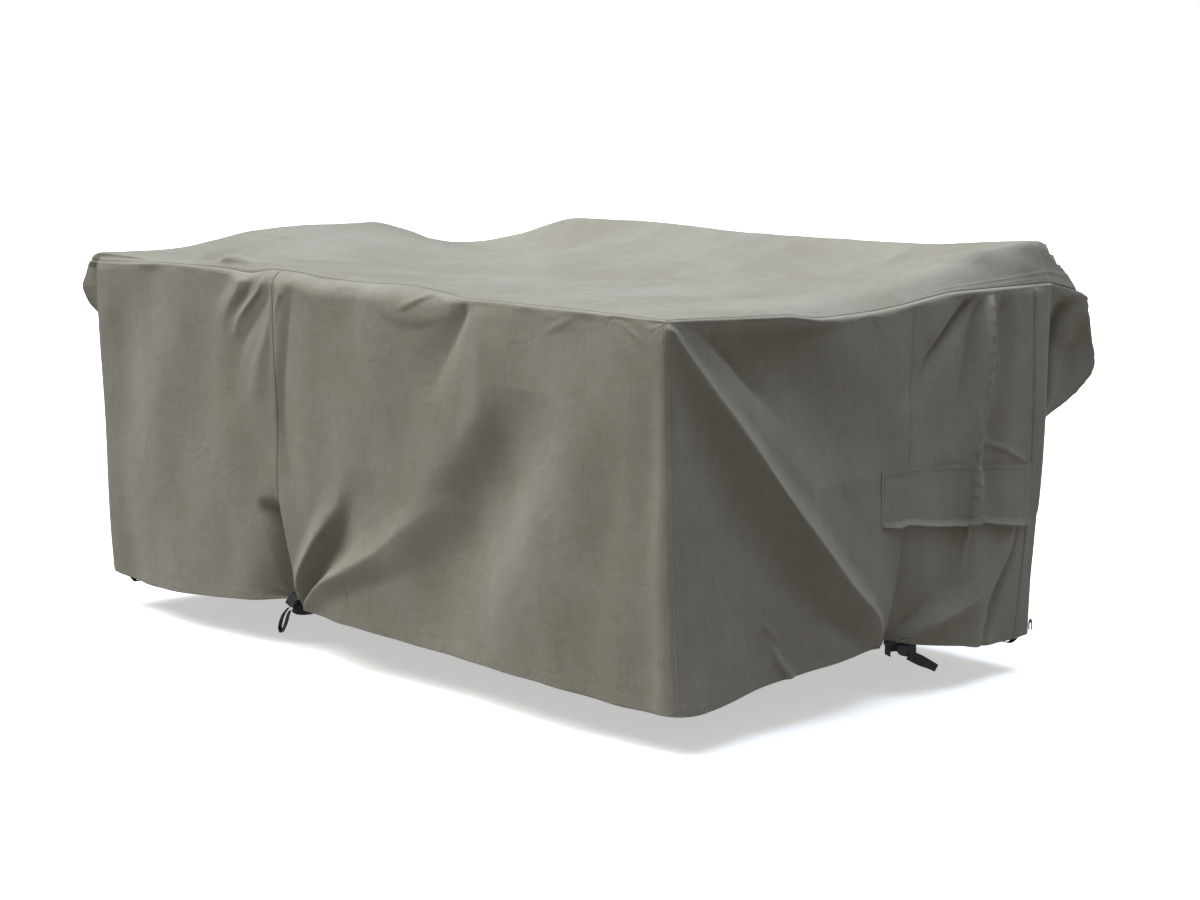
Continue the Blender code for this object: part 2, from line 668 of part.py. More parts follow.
def ground_plan(station, radius):
    """Return points of the rounded rectangle and the directions out of it."""
    station = np.mod(station, PERIMETER)
    side = np.clip(np.searchsorted(CORNERS, station, side="right") - 1, 0, 3)
    length = np.take(SIDE_LENGTHS, side)
    reach = np.take(SIDE_LENGTHS, (side + 1) % 4) / 2
    local = station - np.take(CORNERS, side) - length / 2
    arc = radius * math.pi / 4
    straight = length / 2 - arc
    over = np.clip((np.abs(local) - straight) / arc, 0.0, 1.0)
    turn = np.sign(local) * over * math.pi / 4
    run = np.clip(local, -straight, straight) * (length / 2 - radius) / straight
    run = run + np.sign(local) * radius * np.sin(np.abs(turn))
    out = reach - radius + radius * np.cos(turn)
    heading = side * math.pi / 2
    cos_h, sin_h = np.cos(heading), np.sin(heading)
    x = run * cos_h + out * sin_h
    y = run * sin_h - out * cos_h
    outward = np.stack((np.sin(heading + turn), -np.cos(heading + turn)), -1)
    return np.stack((x, y), -1), outward


def wall_relief(station, depth):
    """Add up the folds: how far the cloth stands out of the plain wall."""
    relief = np.zeros(np.broadcast(station, depth).shape)
    for name, rows in FOLDS.items():
        depths = column(rows, 0)
        middle = curve(depths, column(rows, 1), depth)
        height = curve(depths, column(rows, 2), depth)
        before = curve(depths, column(rows, 3), depth)
        after = curve(depths, column(rows, 4), depth)
        relief += height * fold_profile(nearest_turn(station - middle), before, after,
                                        KEENNESS.get(name, 0.0))
    return relief


def unevenness(station, depth):
    """Low, broad waves that no cloth wall is without."""
    turn = 2 * math.pi / PERIMETER
    return UNEVENNESS * sum(np.sin(waves * turn * station + down * depth + phase)
                            for waves, down, phase in UNEVEN_WAVES)


def tie_pull(station, depth):
    """Return how far the ties draw the cloth in, most at the hem."""
    pull = np.zeros(np.broadcast(station, depth).shape)
    for _, place, drawn_in, before, after, up in TIE_PULLS:
        near_hem = np.clip((depth - DROP + up) / up, 0.0, 1.0) ** 1.6
        offset = nearest_turn(station - place)
        reach = np.where(offset < 0, before, after) * (0.45 + 0.55 * near_hem)
        share = np.clip(np.abs(offset) / reach, 0.0, 1.0)
        pull += drawn_in * near_hem * (1 - share) ** 2
    return pull


def ear_push(station, depth):
    """Return how far the ears move the cloth out of the plain walls, in x and y."""
    push = np.zeros((*np.broadcast(station, depth).shape, 2))
    for _, keen, rows in EARS:
        depths = column(rows, 0)
        offset = nearest_turn(station - curve(depths, column(rows, 1), depth))
        profile = fold_profile(offset, curve(depths, column(rows, 4), depth),
                               curve(depths, column(rows, 5), depth), keen)
        push[..., 0] += profile * curve(depths, column(rows, 2), depth)
        push[..., 1] += profile * curve(depths, column(rows, 3), depth)
    return push


def wall_point(station, share):
    """Return points of the hanging walls, share 0 at the top seam, 1 at the hem."""
    station, share = np.broadcast_arrays(np.asarray(station, float),
                                         np.asarray(share, float))
    around = np.mod(station, PERIMETER)
    depth = share * DROP
    corner = column(CORNER_PLAN, 0)
    radius = (curve(corner, column(CORNER_PLAN, 1), around) * (1 - share)
              + curve(corner, column(CORNER_PLAN, 2), around) * share)
    plan, outward = ground_plan(around, radius)

    seam = column(TOP_SEAM, 0)
    drawn_in = curve(seam, column(TOP_SEAM, 1), around)
    top = curve(seam, column(TOP_SEAM, 2), around)
    hem = -DROP + curve(column(HEM_RISE, 0), column(HEM_RISE, 1), around)
    level = top + (hem - top) * share
    # The cloth rounds over the edge like a quarter circle as wide as it is drawn in.
    round_share = np.clip((top - level) / drawn_in, 0.0, 1.0)
    shoulder = -drawn_in * (1 - np.sqrt(1 - (1 - round_share) ** 2))

    settle = smooth_step(depth / SETTLE)
    relief = (wall_relief(around, depth) + unevenness(around, depth)) * settle
    offset = shoulder + relief - tie_pull(around, depth)
    plan = plan + outward * offset[..., None] + ear_push(around, depth)

    hang = share * share
    for place, _, _, shift_x, shift_y in CORNER_PLAN[:4]:
        near = smooth_step(1 - np.abs(nearest_turn(around - place)) / CORNER_REACH)
        plan = plan + (near * hang)[..., None] * np.array((shift_x, shift_y))
    return np.concatenate((plan, (level + SEAM_LEVEL)[..., None]), -1)


def top_height(x, y):
    """Read the top panel's height between the places that carry it."""
    rows = [curve(TOP_STATIONS_X, heights, x) for _, heights in TOP_HEIGHTS]
    stations = column(TOP_HEIGHTS, 0)
    stacked = np.stack(rows, 0)
    height = np.zeros_like(x)
    flat = stacked.reshape(len(stations), -1)
    for index, (place, values) in enumerate(zip(y.ravel(), flat.T)):
        height.ravel()[index] = curve(stations, values, np.array(place))
    return height


def top_grid(rim):
    """Return the top panel's points between the four runs of its seam."""
    front = rim[:LONG_CELLS + 1]
    near = rim[LONG_CELLS:LONG_CELLS + END_CELLS + 1]
    back = rim[LONG_CELLS + END_CELLS:2 * LONG_CELLS + END_CELLS + 1][::-1]
    far = np.concatenate((rim[2 * LONG_CELLS + END_CELLS:], rim[:1]))[::-1]
    u = np.linspace(0.0, 1.0, LONG_CELLS + 1)[:, None, None]
    v = np.linspace(0.0, 1.0, END_CELLS + 1)[None, :, None]
    sides = front[:, None] * (1 - v) + back[:, None] * v
    ends = far[None] * (1 - u) + near[None] * u
    corners = ((front[0] * (1 - u) + front[-1] * u) * (1 - v)
               + (back[0] * (1 - u) + back[-1] * u) * v)
    points = sides + ends - corners
    edge = np.minimum(np.minimum(u, 1 - u) * LENGTH, np.minimum(v, 1 - v) * WIDTH)
    from_far_corner = np.hypot((1 - u) * LENGTH, (1 - v) * WIDTH)[..., 0]
    keen = smooth_step(1 - from_far_corner / FAR_TOP_CORNER)
    share = np.clip(edge[..., 0] / (TOP_EDGE * (1 - FAR_TOP_KEEN * keen)), 0.0, 1.0)
    plateau = top_height(points[..., 0], points[..., 1]) + SEAM_LEVEL
    rounded = 1 - (1 - share) ** 2
    points[..., 2] += (plateau - points[..., 2]) * (rounded + (share - rounded) * keen)
    return points


def grid_normals(points, closed=False):
    """Return unit normals of a grid of points, which may close on itself."""
    ring = np.concatenate((points[-1:], points, points[:1])) if closed else points
    along = np.gradient(ring, axis=0)
    across = np.gradient(ring, axis=1)
    normal = np.cross(along, across)
    normal /= np.linalg.norm(normal, axis=-1, keepdims=True)
    return normal[1:-1] if closed else normal


# ---------------------------------------------------------------------------
# Panels
# ---------------------------------------------------------------------------

def line_station(line, share):
    """Return where a panel line runs at a share of the drop."""
    _, top, middle, hem = PANEL_LINES[line]
    return curve((0.0, 0.5, 1.0), (top, middle, hem), share)


def wall_stations(shares):
    """Return the stations of every wall column at each share of the drop."""
    columns = []
    for strip, (_, cells) in enumerate(WALL_STRIPS):
        left = line_station(strip, shares)
        right = line_station(strip + 1, shares)
        for cell in range(cells):
            even = cell / cells
            across = EVENNESS * even + (1 - EVENNESS) * smooth_step(even)
            columns.append(left + (right - left) * across)
    return np.array(columns)


def drape():
    """Return the walls' and the top's points and normals, which share the seam."""
    shares = np.array(WALL_ROWS)
    stations = wall_stations(shares)
    walls = wall_point(stations, shares[None, :])
    wall_normals = -grid_normals(walls, closed=True)
    top = top_grid(walls[:, 0])
    top_normals = grid_normals(top)
    ring = top_ring()
    shared = wall_normals[:, 0] + top_normals[ring]
    shared /= np.linalg.norm(shared, axis=-1, keepdims=True)
    wall_normals[:, 0] = shared
    top_normals[ring] = shared
    return walls, wall_normals, top, top_normals


def top_ring():
    """Return the top grid's edge cells in the walls' order."""
    long_run = np.arange(LONG_CELLS)
    end_run = np.arange(END_CELLS)
    i = np.concatenate((long_run, np.full(END_CELLS, LONG_CELLS),
                        LONG_CELLS - long_run, np.zeros(END_CELLS, int)))
    j = np.concatenate((np.zeros(LONG_CELLS, int), end_run,
                        np.full(LONG_CELLS, END_CELLS), END_CELLS - end_run))
    return i, j


def pull_back(points, first=True, last=True):
    """Draw the first and last lines of a grid back from their seams."""
    points = points.copy()
    if first:
        step = points[1] - points[0]
        points[0] += step / np.linalg.norm(step, axis=-1, keepdims=True) * SEAM_GAP / 2
    if last:
        step = points[-2] - points[-1]
        points[-1] += step / np.linalg.norm(step, axis=-1, keepdims=True) * SEAM_GAP / 2
    return points


def sheet(name, points, normals, thickness, material):
    """Make a closed sheet of cloth or webbing on a grid of its middle points."""
    columns, rows = points.shape[0] - 1, points.shape[1] - 1
    mesh_data = bmesh.new()
    bmesh.ops.create_grid(mesh_data, x_segments=columns, y_segments=rows, size=1.0)
    place = mesh_data.verts.layers.int.new("place")
    for vert in mesh_data.verts:
        i = round((vert.co.x + 1) / 2 * columns)
        j = round((vert.co.y + 1) / 2 * rows)
        vert[place] = i * (rows + 1) + j
    result = bmesh.ops.extrude_face_region(mesh_data, geom=mesh_data.faces[:],
                                           use_keep_orig=True)
    outer = {item for item in result["geom"] if isinstance(item, bmesh.types.BMVert)}
    flat_points = points.reshape(-1, 3)
    flat_normals = normals.reshape(-1, 3)
    for vert in mesh_data.verts:
        side = thickness / 2 if vert in outer else -thickness / 2
        vert.co = Vector(flat_points[vert[place]] + flat_normals[vert[place]] * side)
    mesh_data.verts.layers.int.remove(place)
    bmesh.ops.recalc_face_normals(mesh_data, faces=mesh_data.faces[:])
    if mesh_data.calc_volume(signed=True) < 0:
        bmesh.ops.reverse_faces(mesh_data, faces=mesh_data.faces[:])
    return add_object(name, mesh_data, material)


def add_object(name, mesh_data, material):
    """Turn a bmesh into a named object of the cover."""
    mesh = bpy.data.meshes.new(name)
    mesh_data.to_mesh(mesh)
    mesh_data.free()
    mesh.materials.append(material)
    item = bpy.data.objects.new(name, mesh)
    bpy.context.scene.collection.objects.link(item)
    return item


def principled(name, colour, roughness, metallic=0.0):
    """Make a plain material."""
    material = bpy.data.materials.new(name)
    material.use_nodes = True
    shader = material.node_tree.nodes["Principled BSDF"]
    shader.inputs["Base Color"].default_value = (*colour, 1.0)
    shader.inputs["Roughness"].default_value = roughness
    shader.inputs["Metallic"].default_value = metallic
    return material


def add_panels(material):
    """Make the top panel and the wall panels from the drape."""
    walls, wall_normals, top, top_normals = drape()
    top_points = pull_back(top)
    top_points = pull_back(top_points.swapaxes(0, 1)).swapaxes(0, 1)
    sheet("top_panel", top_points, top_normals, CLOTH, material)

    walls = np.concatenate((walls, walls[:1]))
    wall_normals = np.concatenate((wall_normals, wall_normals[:1]))
    start = 0
    spans = {}
    for name, cells in WALL_STRIPS:
        first, _ = spans.get(name, (start, start))
        start += cells
        spans[name] = (first, start)
    for name, (first, last) in spans.items():
        points = pull_back(walls[first:last + 1])
        points = pull_back(points.swapaxes(0, 1), last=False).swapaxes(0, 1)
        sheet(name, points, wall_normals[first:last + 1], CLOTH, material)


def on_panels(station, share):
    """Return points on the flat facets of the wall panels."""
    shares = np.array(WALL_ROWS)
    columns = wall_stations(shares)
    walls = wall_point(columns, shares[None, :])
    lines = np.stack([[np.interp(station[:, row], columns[:, at], walls[:, at, axis])
                       for axis in range(3)]
                      for row in range(station.shape[1]) for at in range(len(shares))])
    lines = lines.reshape(station.shape[1], len(shares), 3, -1)
    points = np.empty((*station.shape, 3))
    for i, j in np.ndindex(*station.shape):
        for axis in range(3):
            points[i, j, axis] = np.interp(share[i, j], shares, lines[j, :, axis, i])
    return points


def add_flap(material):
    """Make the flap that hangs over the air vent of the near end wall."""
    places = column(FLAP, 0)
    stations = np.linspace(places[0], places[-1], FLAP_COLUMNS)[:, None]
    down = np.linspace(0.0, 1.0, FLAP_ROWS)[None, :]
    sewn = curve(places, column(FLAP, 1), stations)
    free = curve(places, column(FLAP, 2), stations)
    depth = sewn + (free - sewn) * down
    points = on_panels(stations + 0 * down, depth / DROP)
    normals = -grid_normals(points)
    stand = FLAP_CLEARANCE + (FLAP_STAND - FLAP_CLEARANCE) * smooth_step(down)
    points = points + normals * stand[..., None]
    sheet("vent_flap", points, normals, CLOTH, material)


class TieFrame:
    """A place on the hem from which a tie's webbing is laid out."""

    def __init__(self, station, yaw):
        """Stand at the hem at a station, with the along axis turned by yaw."""
        self.origin = wall_point(station, 1.0)
        self.along = np.array((math.cos(yaw), math.sin(yaw), 0.0))
        self.out = np.array((math.sin(yaw), -math.cos(yaw), 0.0))
        self.up = np.array((0.0, 0.0, 1.0))

    def point(self, along, out, up):
        """Return the world point at a place of the tie's own frame."""
        along, out, up = (np.asarray(value)[..., None] for value in (along, out, up))
        return self.origin + along * self.along + out * self.out + up * self.up

    def matrix(self, along, out, up, tilt=0.0):
        """Return a matrix that puts a hard piece at a place, tilted in its face."""
        axes = Matrix((self.along, -self.out, self.up)).transposed().to_4x4()
        place = Matrix.Translation(Vector(self.point(along, out, up)))
        return place @ axes @ Matrix.Rotation(tilt, 4, "Y")


def band(name, tie, run, width_axis, cells, material):
    """Make a strip of webbing along a run of a tie, its width along an axis."""
    length = np.concatenate(([0.0], np.cumsum(
        [math.dist(a[:3], b[:3]) for a, b in zip(run, run[1:])])))
    where = np.linspace(0.0, length[-1], cells + 1)
    along, out, up, width = (curve(length, column(run, axis), where) for axis in range(4))
    middle = tie.point(along, out, up)
    forward = np.gradient(middle, axis=0)
    forward /= np.linalg.norm(forward, axis=1, keepdims=True)
    across = width_axis - forward * (forward @ width_axis)[:, None]
    across /= np.linalg.norm(across, axis=1, keepdims=True)
    half = across * width[:, None] / 2
    points = np.stack((middle - half, middle, middle + half), axis=1)
    normals = np.repeat(np.cross(forward, across)[:, None], 3, axis=1)
    return sheet(name, points, normals, WEBBING, material)


def rounded_block(name, size, bevel, matrix, material):
    """Make a small moulded or knotted piece with rounded edges."""
    mesh_data = bmesh.new()
    bmesh.ops.create_cube(mesh_data, size=1.0, matrix=Matrix.Diagonal((*size, 1.0)))
    bmesh.ops.bevel(mesh_data, geom=mesh_data.edges[:], offset=bevel, segments=2,
                    profile=0.5, affect="EDGES", material=-1)
    bmesh.ops.transform(mesh_data, matrix=matrix, verts=mesh_data.verts[:])
    return add_object(name, mesh_data, material)


def outside_wall(station, share, stand):
    """Return points that stand a little way outside the walls."""
    step = 0.004
    point = wall_point(station, share)
    along = wall_point(np.asarray(station) + step, share) - point
    down = point - wall_point(station, np.asarray(share) - step)
    normal = np.cross(down, along)
    return point + normal / np.linalg.norm(normal, axis=-1, keepdims=True) * stand


def add_front_tie(webbing, plastic):
    """Make the strap that gathers the front hem, its buckle and its hanging loop."""
    tie = TieFrame(TIE_PULLS[0][1], FRONT_TIE_YAW)
    band("front_gather_strap", tie, FRONT_GATHER_STRAP, tie.up, STRAP_CELLS, webbing)
    loop_axis = np.array((math.sin(STRAP_LOOP_YAW), -math.cos(STRAP_LOOP_YAW), 0.0))
    band("front_strap_loop", tie, FRONT_STRAP_LOOP, loop_axis, LOOP_CELLS, webbing)
    rounded_block("front_buckle", BUCKLE_SIZE, BUCKLE_BEVEL,
                  tie.matrix(*BUCKLE_PLACE, BUCKLE_TILT), plastic)


def add_end_tie(webbing):
    """Make the end hem's strap with its knot and its free tail."""
    tie = TieFrame(TIE_PULLS[1][1], END_TIE_YAW)
    band("end_gather_strap", tie, END_GATHER_STRAP, tie.up, STRAP_CELLS, webbing)
    band("end_strap_tail", tie, END_STRAP_TAIL, tie.up, TAIL_CELLS, webbing)
    rounded_block("end_strap_knot", KNOT_SIZE, KNOT_BEVEL, tie.matrix(*KNOT_PLACE), webbing)


def add_corner_straps(webbing):
    """Make the folded webbing that shows under two corners."""
    for name, first, last in CORNER_STRAPS:
        stations = np.linspace(first, last, CORNER_STRAP_CELLS + 1)
        hang = np.sin(np.linspace(0.0, math.pi, CORNER_STRAP_CELLS + 1))
        outer = outside_wall(stations, np.ones_like(stations), -CORNER_STRAP_INSET)
        outer[:, 2] -= hang * CORNER_STRAP_DIP
        inner = outside_wall(stations, np.ones_like(stations),
                             -CORNER_STRAP_INSET - CORNER_STRAP_WIDTH)
        inner[:, 2] = outer[:, 2]
        points = np.stack((outer, (outer + inner) / 2, inner), axis=1)
        sheet(name, points, grid_normals(points), WEBBING, webbing)


def add_corner_clip(plastic):
    """Make the two-pronged clip, the half of a buckle that is left undone."""
    mesh_data = bmesh.new()
    bmesh.ops.create_grid(mesh_data, x_segments=3, y_segments=2, size=1.0)
    for vert in mesh_data.verts:
        row = round(vert.co.y + 1)
        across = CLIP_COLUMNS[round((vert.co.x + 1) * 1.5)] * (CLIP_TOP if row == 2 else 1.0)
        vert.co = (across, -CLIP_THICKNESS / 2, CLIP_ROWS[row])
    between = [face for face in mesh_data.faces
               if abs(face.calc_center_median().x) < 0.001 and face.calc_center_median().z < 0]
    bmesh.ops.delete(mesh_data, geom=between, context="FACES")
    result = bmesh.ops.extrude_face_region(mesh_data, geom=mesh_data.faces[:],
                                           use_keep_orig=True)
    moved = [item for item in result["geom"] if isinstance(item, bmesh.types.BMVert)]
    bmesh.ops.translate(mesh_data, verts=moved, vec=(0.0, CLIP_THICKNESS, 0.0))
    bmesh.ops.recalc_face_normals(mesh_data, faces=mesh_data.faces[:])
    keen = [edge for edge in mesh_data.edges if edge.calc_face_angle(0.0) > CLIP_KEEN]
    bmesh.ops.bevel(mesh_data, geom=keen, offset=CLIP_BEVEL, segments=2,
                    profile=0.5, affect="EDGES", material=-1)
    place = outside_wall(CLIP_STATION, CLIP_SHARE, CLIP_STAND)
    matrix = Matrix.Translation(Vector(place)) @ Matrix.Rotation(CLIP_TURN, 4, "Z")
    bmesh.ops.transform(mesh_data, matrix=matrix, verts=mesh_data.verts[:])
    add_object("corner_clip", mesh_data, plastic)


def main():
    """Clear the scene and make the cover."""
    for item in list(bpy.data.objects):
        bpy.data.objects.remove(item, do_unlink=True)
    cloth = principled("woven_polyester", GREY_CLOTH, 0.85)
    webbing = principled("black_webbing", BLACK, 0.7)
    plastic = principled("dark_plastic", DARK_GREY, 0.45)
    add_panels(cloth)
    add_flap(cloth)
    add_front_tie(webbing, plastic)
    add_end_tie(webbing)
    add_corner_straps(webbing)
    add_corner_clip(plastic)


main()
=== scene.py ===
"""Looks of the fitted patio furniture cover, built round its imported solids.

The cover is one drape, worked out from tables of folds, and every panel is cut
from it as a fine sheet with its seams, hems, gathers and creases.  The webbing,
the knot and the plastic pieces are modelled one by one where their solids are.

Metres, +Z up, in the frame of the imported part.  Tables given to metres() are in
millimetres.
"""

from __future__ import annotations

import logging
import math
from collections.abc import Iterable, Sequence
from dataclasses import dataclass, field
from enum import Enum

import bmesh
import bpy
import numpy as np
from bmesh.types import BMesh, BMVert
from bpy.types import Material, Node, NodeSocket, NodeTree, Object
from mathutils import Matrix, Vector


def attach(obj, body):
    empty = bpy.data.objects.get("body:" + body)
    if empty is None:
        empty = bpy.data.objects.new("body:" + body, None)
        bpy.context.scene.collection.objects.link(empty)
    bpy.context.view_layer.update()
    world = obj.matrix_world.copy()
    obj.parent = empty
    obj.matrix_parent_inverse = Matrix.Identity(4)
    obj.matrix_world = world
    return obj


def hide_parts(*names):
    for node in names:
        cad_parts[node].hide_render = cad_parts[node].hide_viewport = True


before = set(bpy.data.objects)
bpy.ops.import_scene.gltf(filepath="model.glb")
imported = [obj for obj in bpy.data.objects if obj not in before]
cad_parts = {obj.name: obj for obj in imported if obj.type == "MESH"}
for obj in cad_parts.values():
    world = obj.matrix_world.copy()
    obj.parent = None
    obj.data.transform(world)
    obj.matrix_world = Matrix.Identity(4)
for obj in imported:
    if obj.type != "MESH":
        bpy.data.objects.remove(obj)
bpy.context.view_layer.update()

LOG = logging.getLogger("cover")
Array = np.ndarray
Table = Sequence[Sequence[float]]
Triple = tuple[float, float, float]

# --- Driving dimensions, as in the part's source ---

LENGTH = 2.12  # top seam, corner to corner along the front
WIDTH = 1.19  # top seam, corner to corner across an end
DROP = 0.80  # top seam to hem
CLOTH = 0.0016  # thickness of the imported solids
CENTRE_SAG = -0.006  # top panel at its centre, from the seam's level
SEAM_LEVEL = -CENTRE_SAG + CLOTH / 2  # puts the origin on the top's underside

# Stations round the perimeter, counted from the left front corner along the front.
NEAR_CORNER = LENGTH
FAR_CORNER = LENGTH + WIDTH
BACK_LEFT_CORNER = 2 * LENGTH + WIDTH
PERIMETER = 2 * (LENGTH + WIDTH)
CORNERS = (0.0, NEAR_CORNER, FAR_CORNER, BACK_LEFT_CORNER, PERIMETER)
SIDE_LENGTHS = (LENGTH, WIDTH, LENGTH, WIDTH)
TOP_FAR_STATION = 3.356  # where the top panel's far corner meets the walls
CORNER_REACH = 0.34  # how far along the wall a corner's shift is felt
TOP_EDGE = 0.060  # how far in the top rounds over to its seam
FAR_TOP_CORNER = 0.26  # round which the top drops more steeply to its seam
FAR_TOP_KEEN = 0.62  # by which share of its run
SETTLE = 0.022  # depth below the seam where folds reach full height
UNEVENNESS = 0.0016  # height of each broad wave of the walls
TIE_POWER = 1.6  # above 1, a tie's pull dies out sooner up the wall
TIE_SPREAD = (0.45, 0.55)  # a tie's reach high up, and what it gains at the hem, as shares

# --- Sizes of the small forms ---

FABRIC = 0.0014  # thickness of one layer with its coating
WEBBING_WIDTH = 0.025
WEBBING = 0.0014  # thickness
SEAM_EASE = 0.0012  # run in which a seam's raised strip falls away
STITCH_DENT = 0.0005
STITCH_DENT_WIDTH = 0.0008
NOTCH_WIDTH = 0.0016
DRAW_PITCH = 0.0065  # half a wave of the wrinkles that stitches draw in
DRAW_REACH = 0.030
DRAW_START = 0.004
DRAW_WAVER = 0.4  # share of their height that comes and goes
DRAW_RAGGED = 0.5  # share of their reach that comes and goes
GATHER_START = 0.012
GATHER_RAGGED = 0.25  # share of the pleats' reach that comes and goes
GATHER_RAG_PITCH = 0.6  # of a pleat's width
GATHER_POWER = 1.5  # above 1, pleats die out sooner
PATCH_FADE = 0.05
TOP_FADE = 0.006  # depth in which the walls' small forms reach full height
PROBE = 0.0012  # half a step when a surface's normal is measured
PROBE_SHARE = 0.0016
WALL_STEP = 0.004  # the same for a single place outside the walls
HEM_SEED = 40
WELD = 0.000002  # doubles closer than this are one point
THREAD = 0.00042  # radius of the sewing thread
THREAD_SIDES = 4
STITCH = 0.0050  # length of a stitch
# One stitch: how far along it, and how high over the cloth.
STITCH_RUN = ((0.00, -0.0005), (0.12, 0.0000), (0.30, 0.0003), (0.70, 0.0003), (0.88, 0.0000))
SEAM_END = 0.004  # of a seam, left without stitches
SEAM_POINTS = 400  # places read along an upright row of stitches

BEVEL_STEPS = 4  # of the moulded pieces' rounded edges
SHARP_ANGLE = math.radians(40.0)  # above which such an edge is shaded sharp
CLOTH_UV = "cloth"  # name of the flat cloth's map, in metres
WALL_PITCH, HIDDEN_PITCH, TOP_PITCH = 0.0062, 0.0105, 0.011  # spacing of the meshes
ROW_ZONES = ((0.0, 0.030, 0.0016), (0.030, 0.090, 0.0045), (0.766, 0.800, 0.0020))
SEAM_ZONE = (0.013, 0.0012)  # width and mesh spacing beside a seam
TOP_EDGE_ZONE = (0.07, 0.005)  # the same inside the top's edge
GRADING_POINTS = 4000
RIPPLE_VALUES = 2048  # random values behind a ripple
HILLS = 256  # and along each side of a field of patches


# --- Curves and noise ---

def metres(table: Iterable) -> tuple:
    """Turn a table in millimetres into one in metres."""
    return tuple(metres(item) if isinstance(item, tuple) else item / 1000 for item in table)


def smooth_step(value: Array) -> Array:
    """Ease from 0 to 1 with level ends."""
    value = np.clip(value, 0.0, 1.0)
    return value * value * (3.0 - 2.0 * value)


def unit(vectors: Array) -> Array:
    """Bring vectors to a length of 1."""
    return vectors / np.linalg.norm(vectors, axis=-1, keepdims=True)


def distances(path: Array) -> Array:
    """Return each point's distance along a path."""
    return np.concatenate(([0.0], np.cumsum(np.linalg.norm(np.diff(path, axis=0), axis=1))))


def curve(stations: Sequence[float], values: Sequence[float] | Array, where: Array) -> Array:
    """Read a smooth curve through a table's points, without overshoot.

    Args:
        stations: where the table's points are, in rising order.
        values: a value for each point, or a row of values, one for each place.
        where: the places to read.

    Returns:
        The curve's value at each place.
    """
    x = np.asarray(stations, float)
    y = np.asarray(values, float)
    where = np.clip(np.asarray(where, float), x[0], x[-1])
    step = np.diff(x)
    rise = (np.diff(y, axis=0).T / step).T
    slope = np.zeros_like(y)
    slope[0], slope[-1] = rise[0], rise[-1]
    same_way = rise[:-1] * rise[1:] > 0
    total = np.where(same_way, rise[:-1] + rise[1:], 1.0)
    slope[1:-1] = np.where(same_way, 2 * rise[:-1] * rise[1:] / total, 0.0)
    i = np.clip(np.searchsorted(x, where, side="right") - 1, 0, len(step) - 1)
    t = (where - x[i]) / step[i]

    def at(table: Array, index: Array) -> Array:
        """Read one row of the table for each place."""
        return table[index] if table.ndim == 1 else np.take_along_axis(table, index[None], axis=0)[0]

    return (at(y, i) * (1 + 2 * t) * (1 - t) ** 2 + at(slope, i) * step[i] * t * (1 - t) ** 2
            + at(y, i + 1) * t * t * (3 - 2 * t) + at(slope, i + 1) * step[i] * t * t * (t - 1))


def column(table: Table, index: int) -> list[float]:
    """Return one column of a table of rows."""
    return [row[index] for row in table]


def read(table: Table, index: int, where: Array) -> Array:
    """Read one column of a table as a smooth curve over its first column."""
    return curve(column(table, 0), column(table, index), where)


def fold_profile(offset: Array, before: Array, after: Array, keen: float = 0.0) -> Array:
    """Shape a fold across its run: 1 on its middle line, 0 past its reach.

    Args:
        offset: distances from the fold's middle line.
        before: its reach on the side of lower distances.
        after: its reach on the other side.
        keen: 0 for a round swell, 1 for a line, 2 for a tent.

    Returns:
        The fold's height as a share.
    """
    share = np.clip(np.abs(offset) / np.where(offset < 0, before, after), 0.0, 1.0)
    line = (1 - share) ** 2
    swell = line * (1 + 2 * share * (1 - min(keen, 1.0)))
    return swell + (1 - share - line) * max(keen - 1.0, 0.0)


def nearest_turn(offset: Array) -> Array:
    """Bring a distance along the closed perimeter to its shorter way round."""
    return (offset + PERIMETER / 2) % PERIMETER - PERIMETER / 2


def ripple(place: Array, pitch: float, seed: int) -> Array:
    """Return smooth random waves along a line.

    Args:
        place: distances along the line.
        pitch: mean length of half a wave.
        seed: picks the run of random values.

    Returns:
        Heights between -1 and 1.
    """
    values = np.random.default_rng(seed).uniform(-1.0, 1.0, RIPPLE_VALUES)
    turn = np.asarray(place, float) / pitch + RIPPLE_VALUES / 4
    low = np.floor(turn).astype(int)
    share = smooth_step(turn - low)
    return values[low % RIPPLE_VALUES] * (1 - share) + values[(low + 1) % RIPPLE_VALUES] * share


def patches(x: Array, y: Array, pitch: float, seed: int) -> Array:
    """Return smooth random hills over a plane.

    Args:
        x, y: places in the plane.
        pitch: mean size of half a hill.
        seed: picks the random values.

    Returns:
        Heights between -1 and 1.
    """
    values = np.random.default_rng(seed).uniform(-1.0, 1.0, (HILLS + 1, HILLS + 1))
    u, v = (np.asarray(place, float) / pitch + HILLS / 4 for place in (x, y))
    i, j = np.floor(u).astype(int), np.floor(v).astype(int)
    s, t = smooth_step(u - i), smooth_step(v - j)
    i, j = i % HILLS, j % HILLS
    low = values[i, j] * (1 - s) + values[i + 1, j] * s
    high = values[i, j + 1] * (1 - s) + values[i + 1, j + 1] * s
    return low * (1 - t) + high * t


def graded(length: float, pitch: float, zones: Iterable[Triple]) -> Array:
    """Space points along a run, closer together inside some zones.

    Args:
        length: the run's length.
        pitch: spacing outside the zones.
        zones: first place, last place and spacing of each finer zone.

    Returns:
        The points' places, from 0 to 1.
    """
    place = np.linspace(0.0, length, GRADING_POINTS)
    density = np.full_like(place, 1.0 / pitch)
    for first, last, fine in zones:
        density[(place >= first) & (place <= last)] = 1.0 / fine
    total = np.concatenate(([0.0], np.cumsum((density[1:] + density[:-1]) / 2 * np.diff(place))))
    even = np.linspace(0.0, total[-1], math.ceil(total[-1]) + 1)
    return np.interp(even, total, place) / length


# --- Forms of the cloth ---

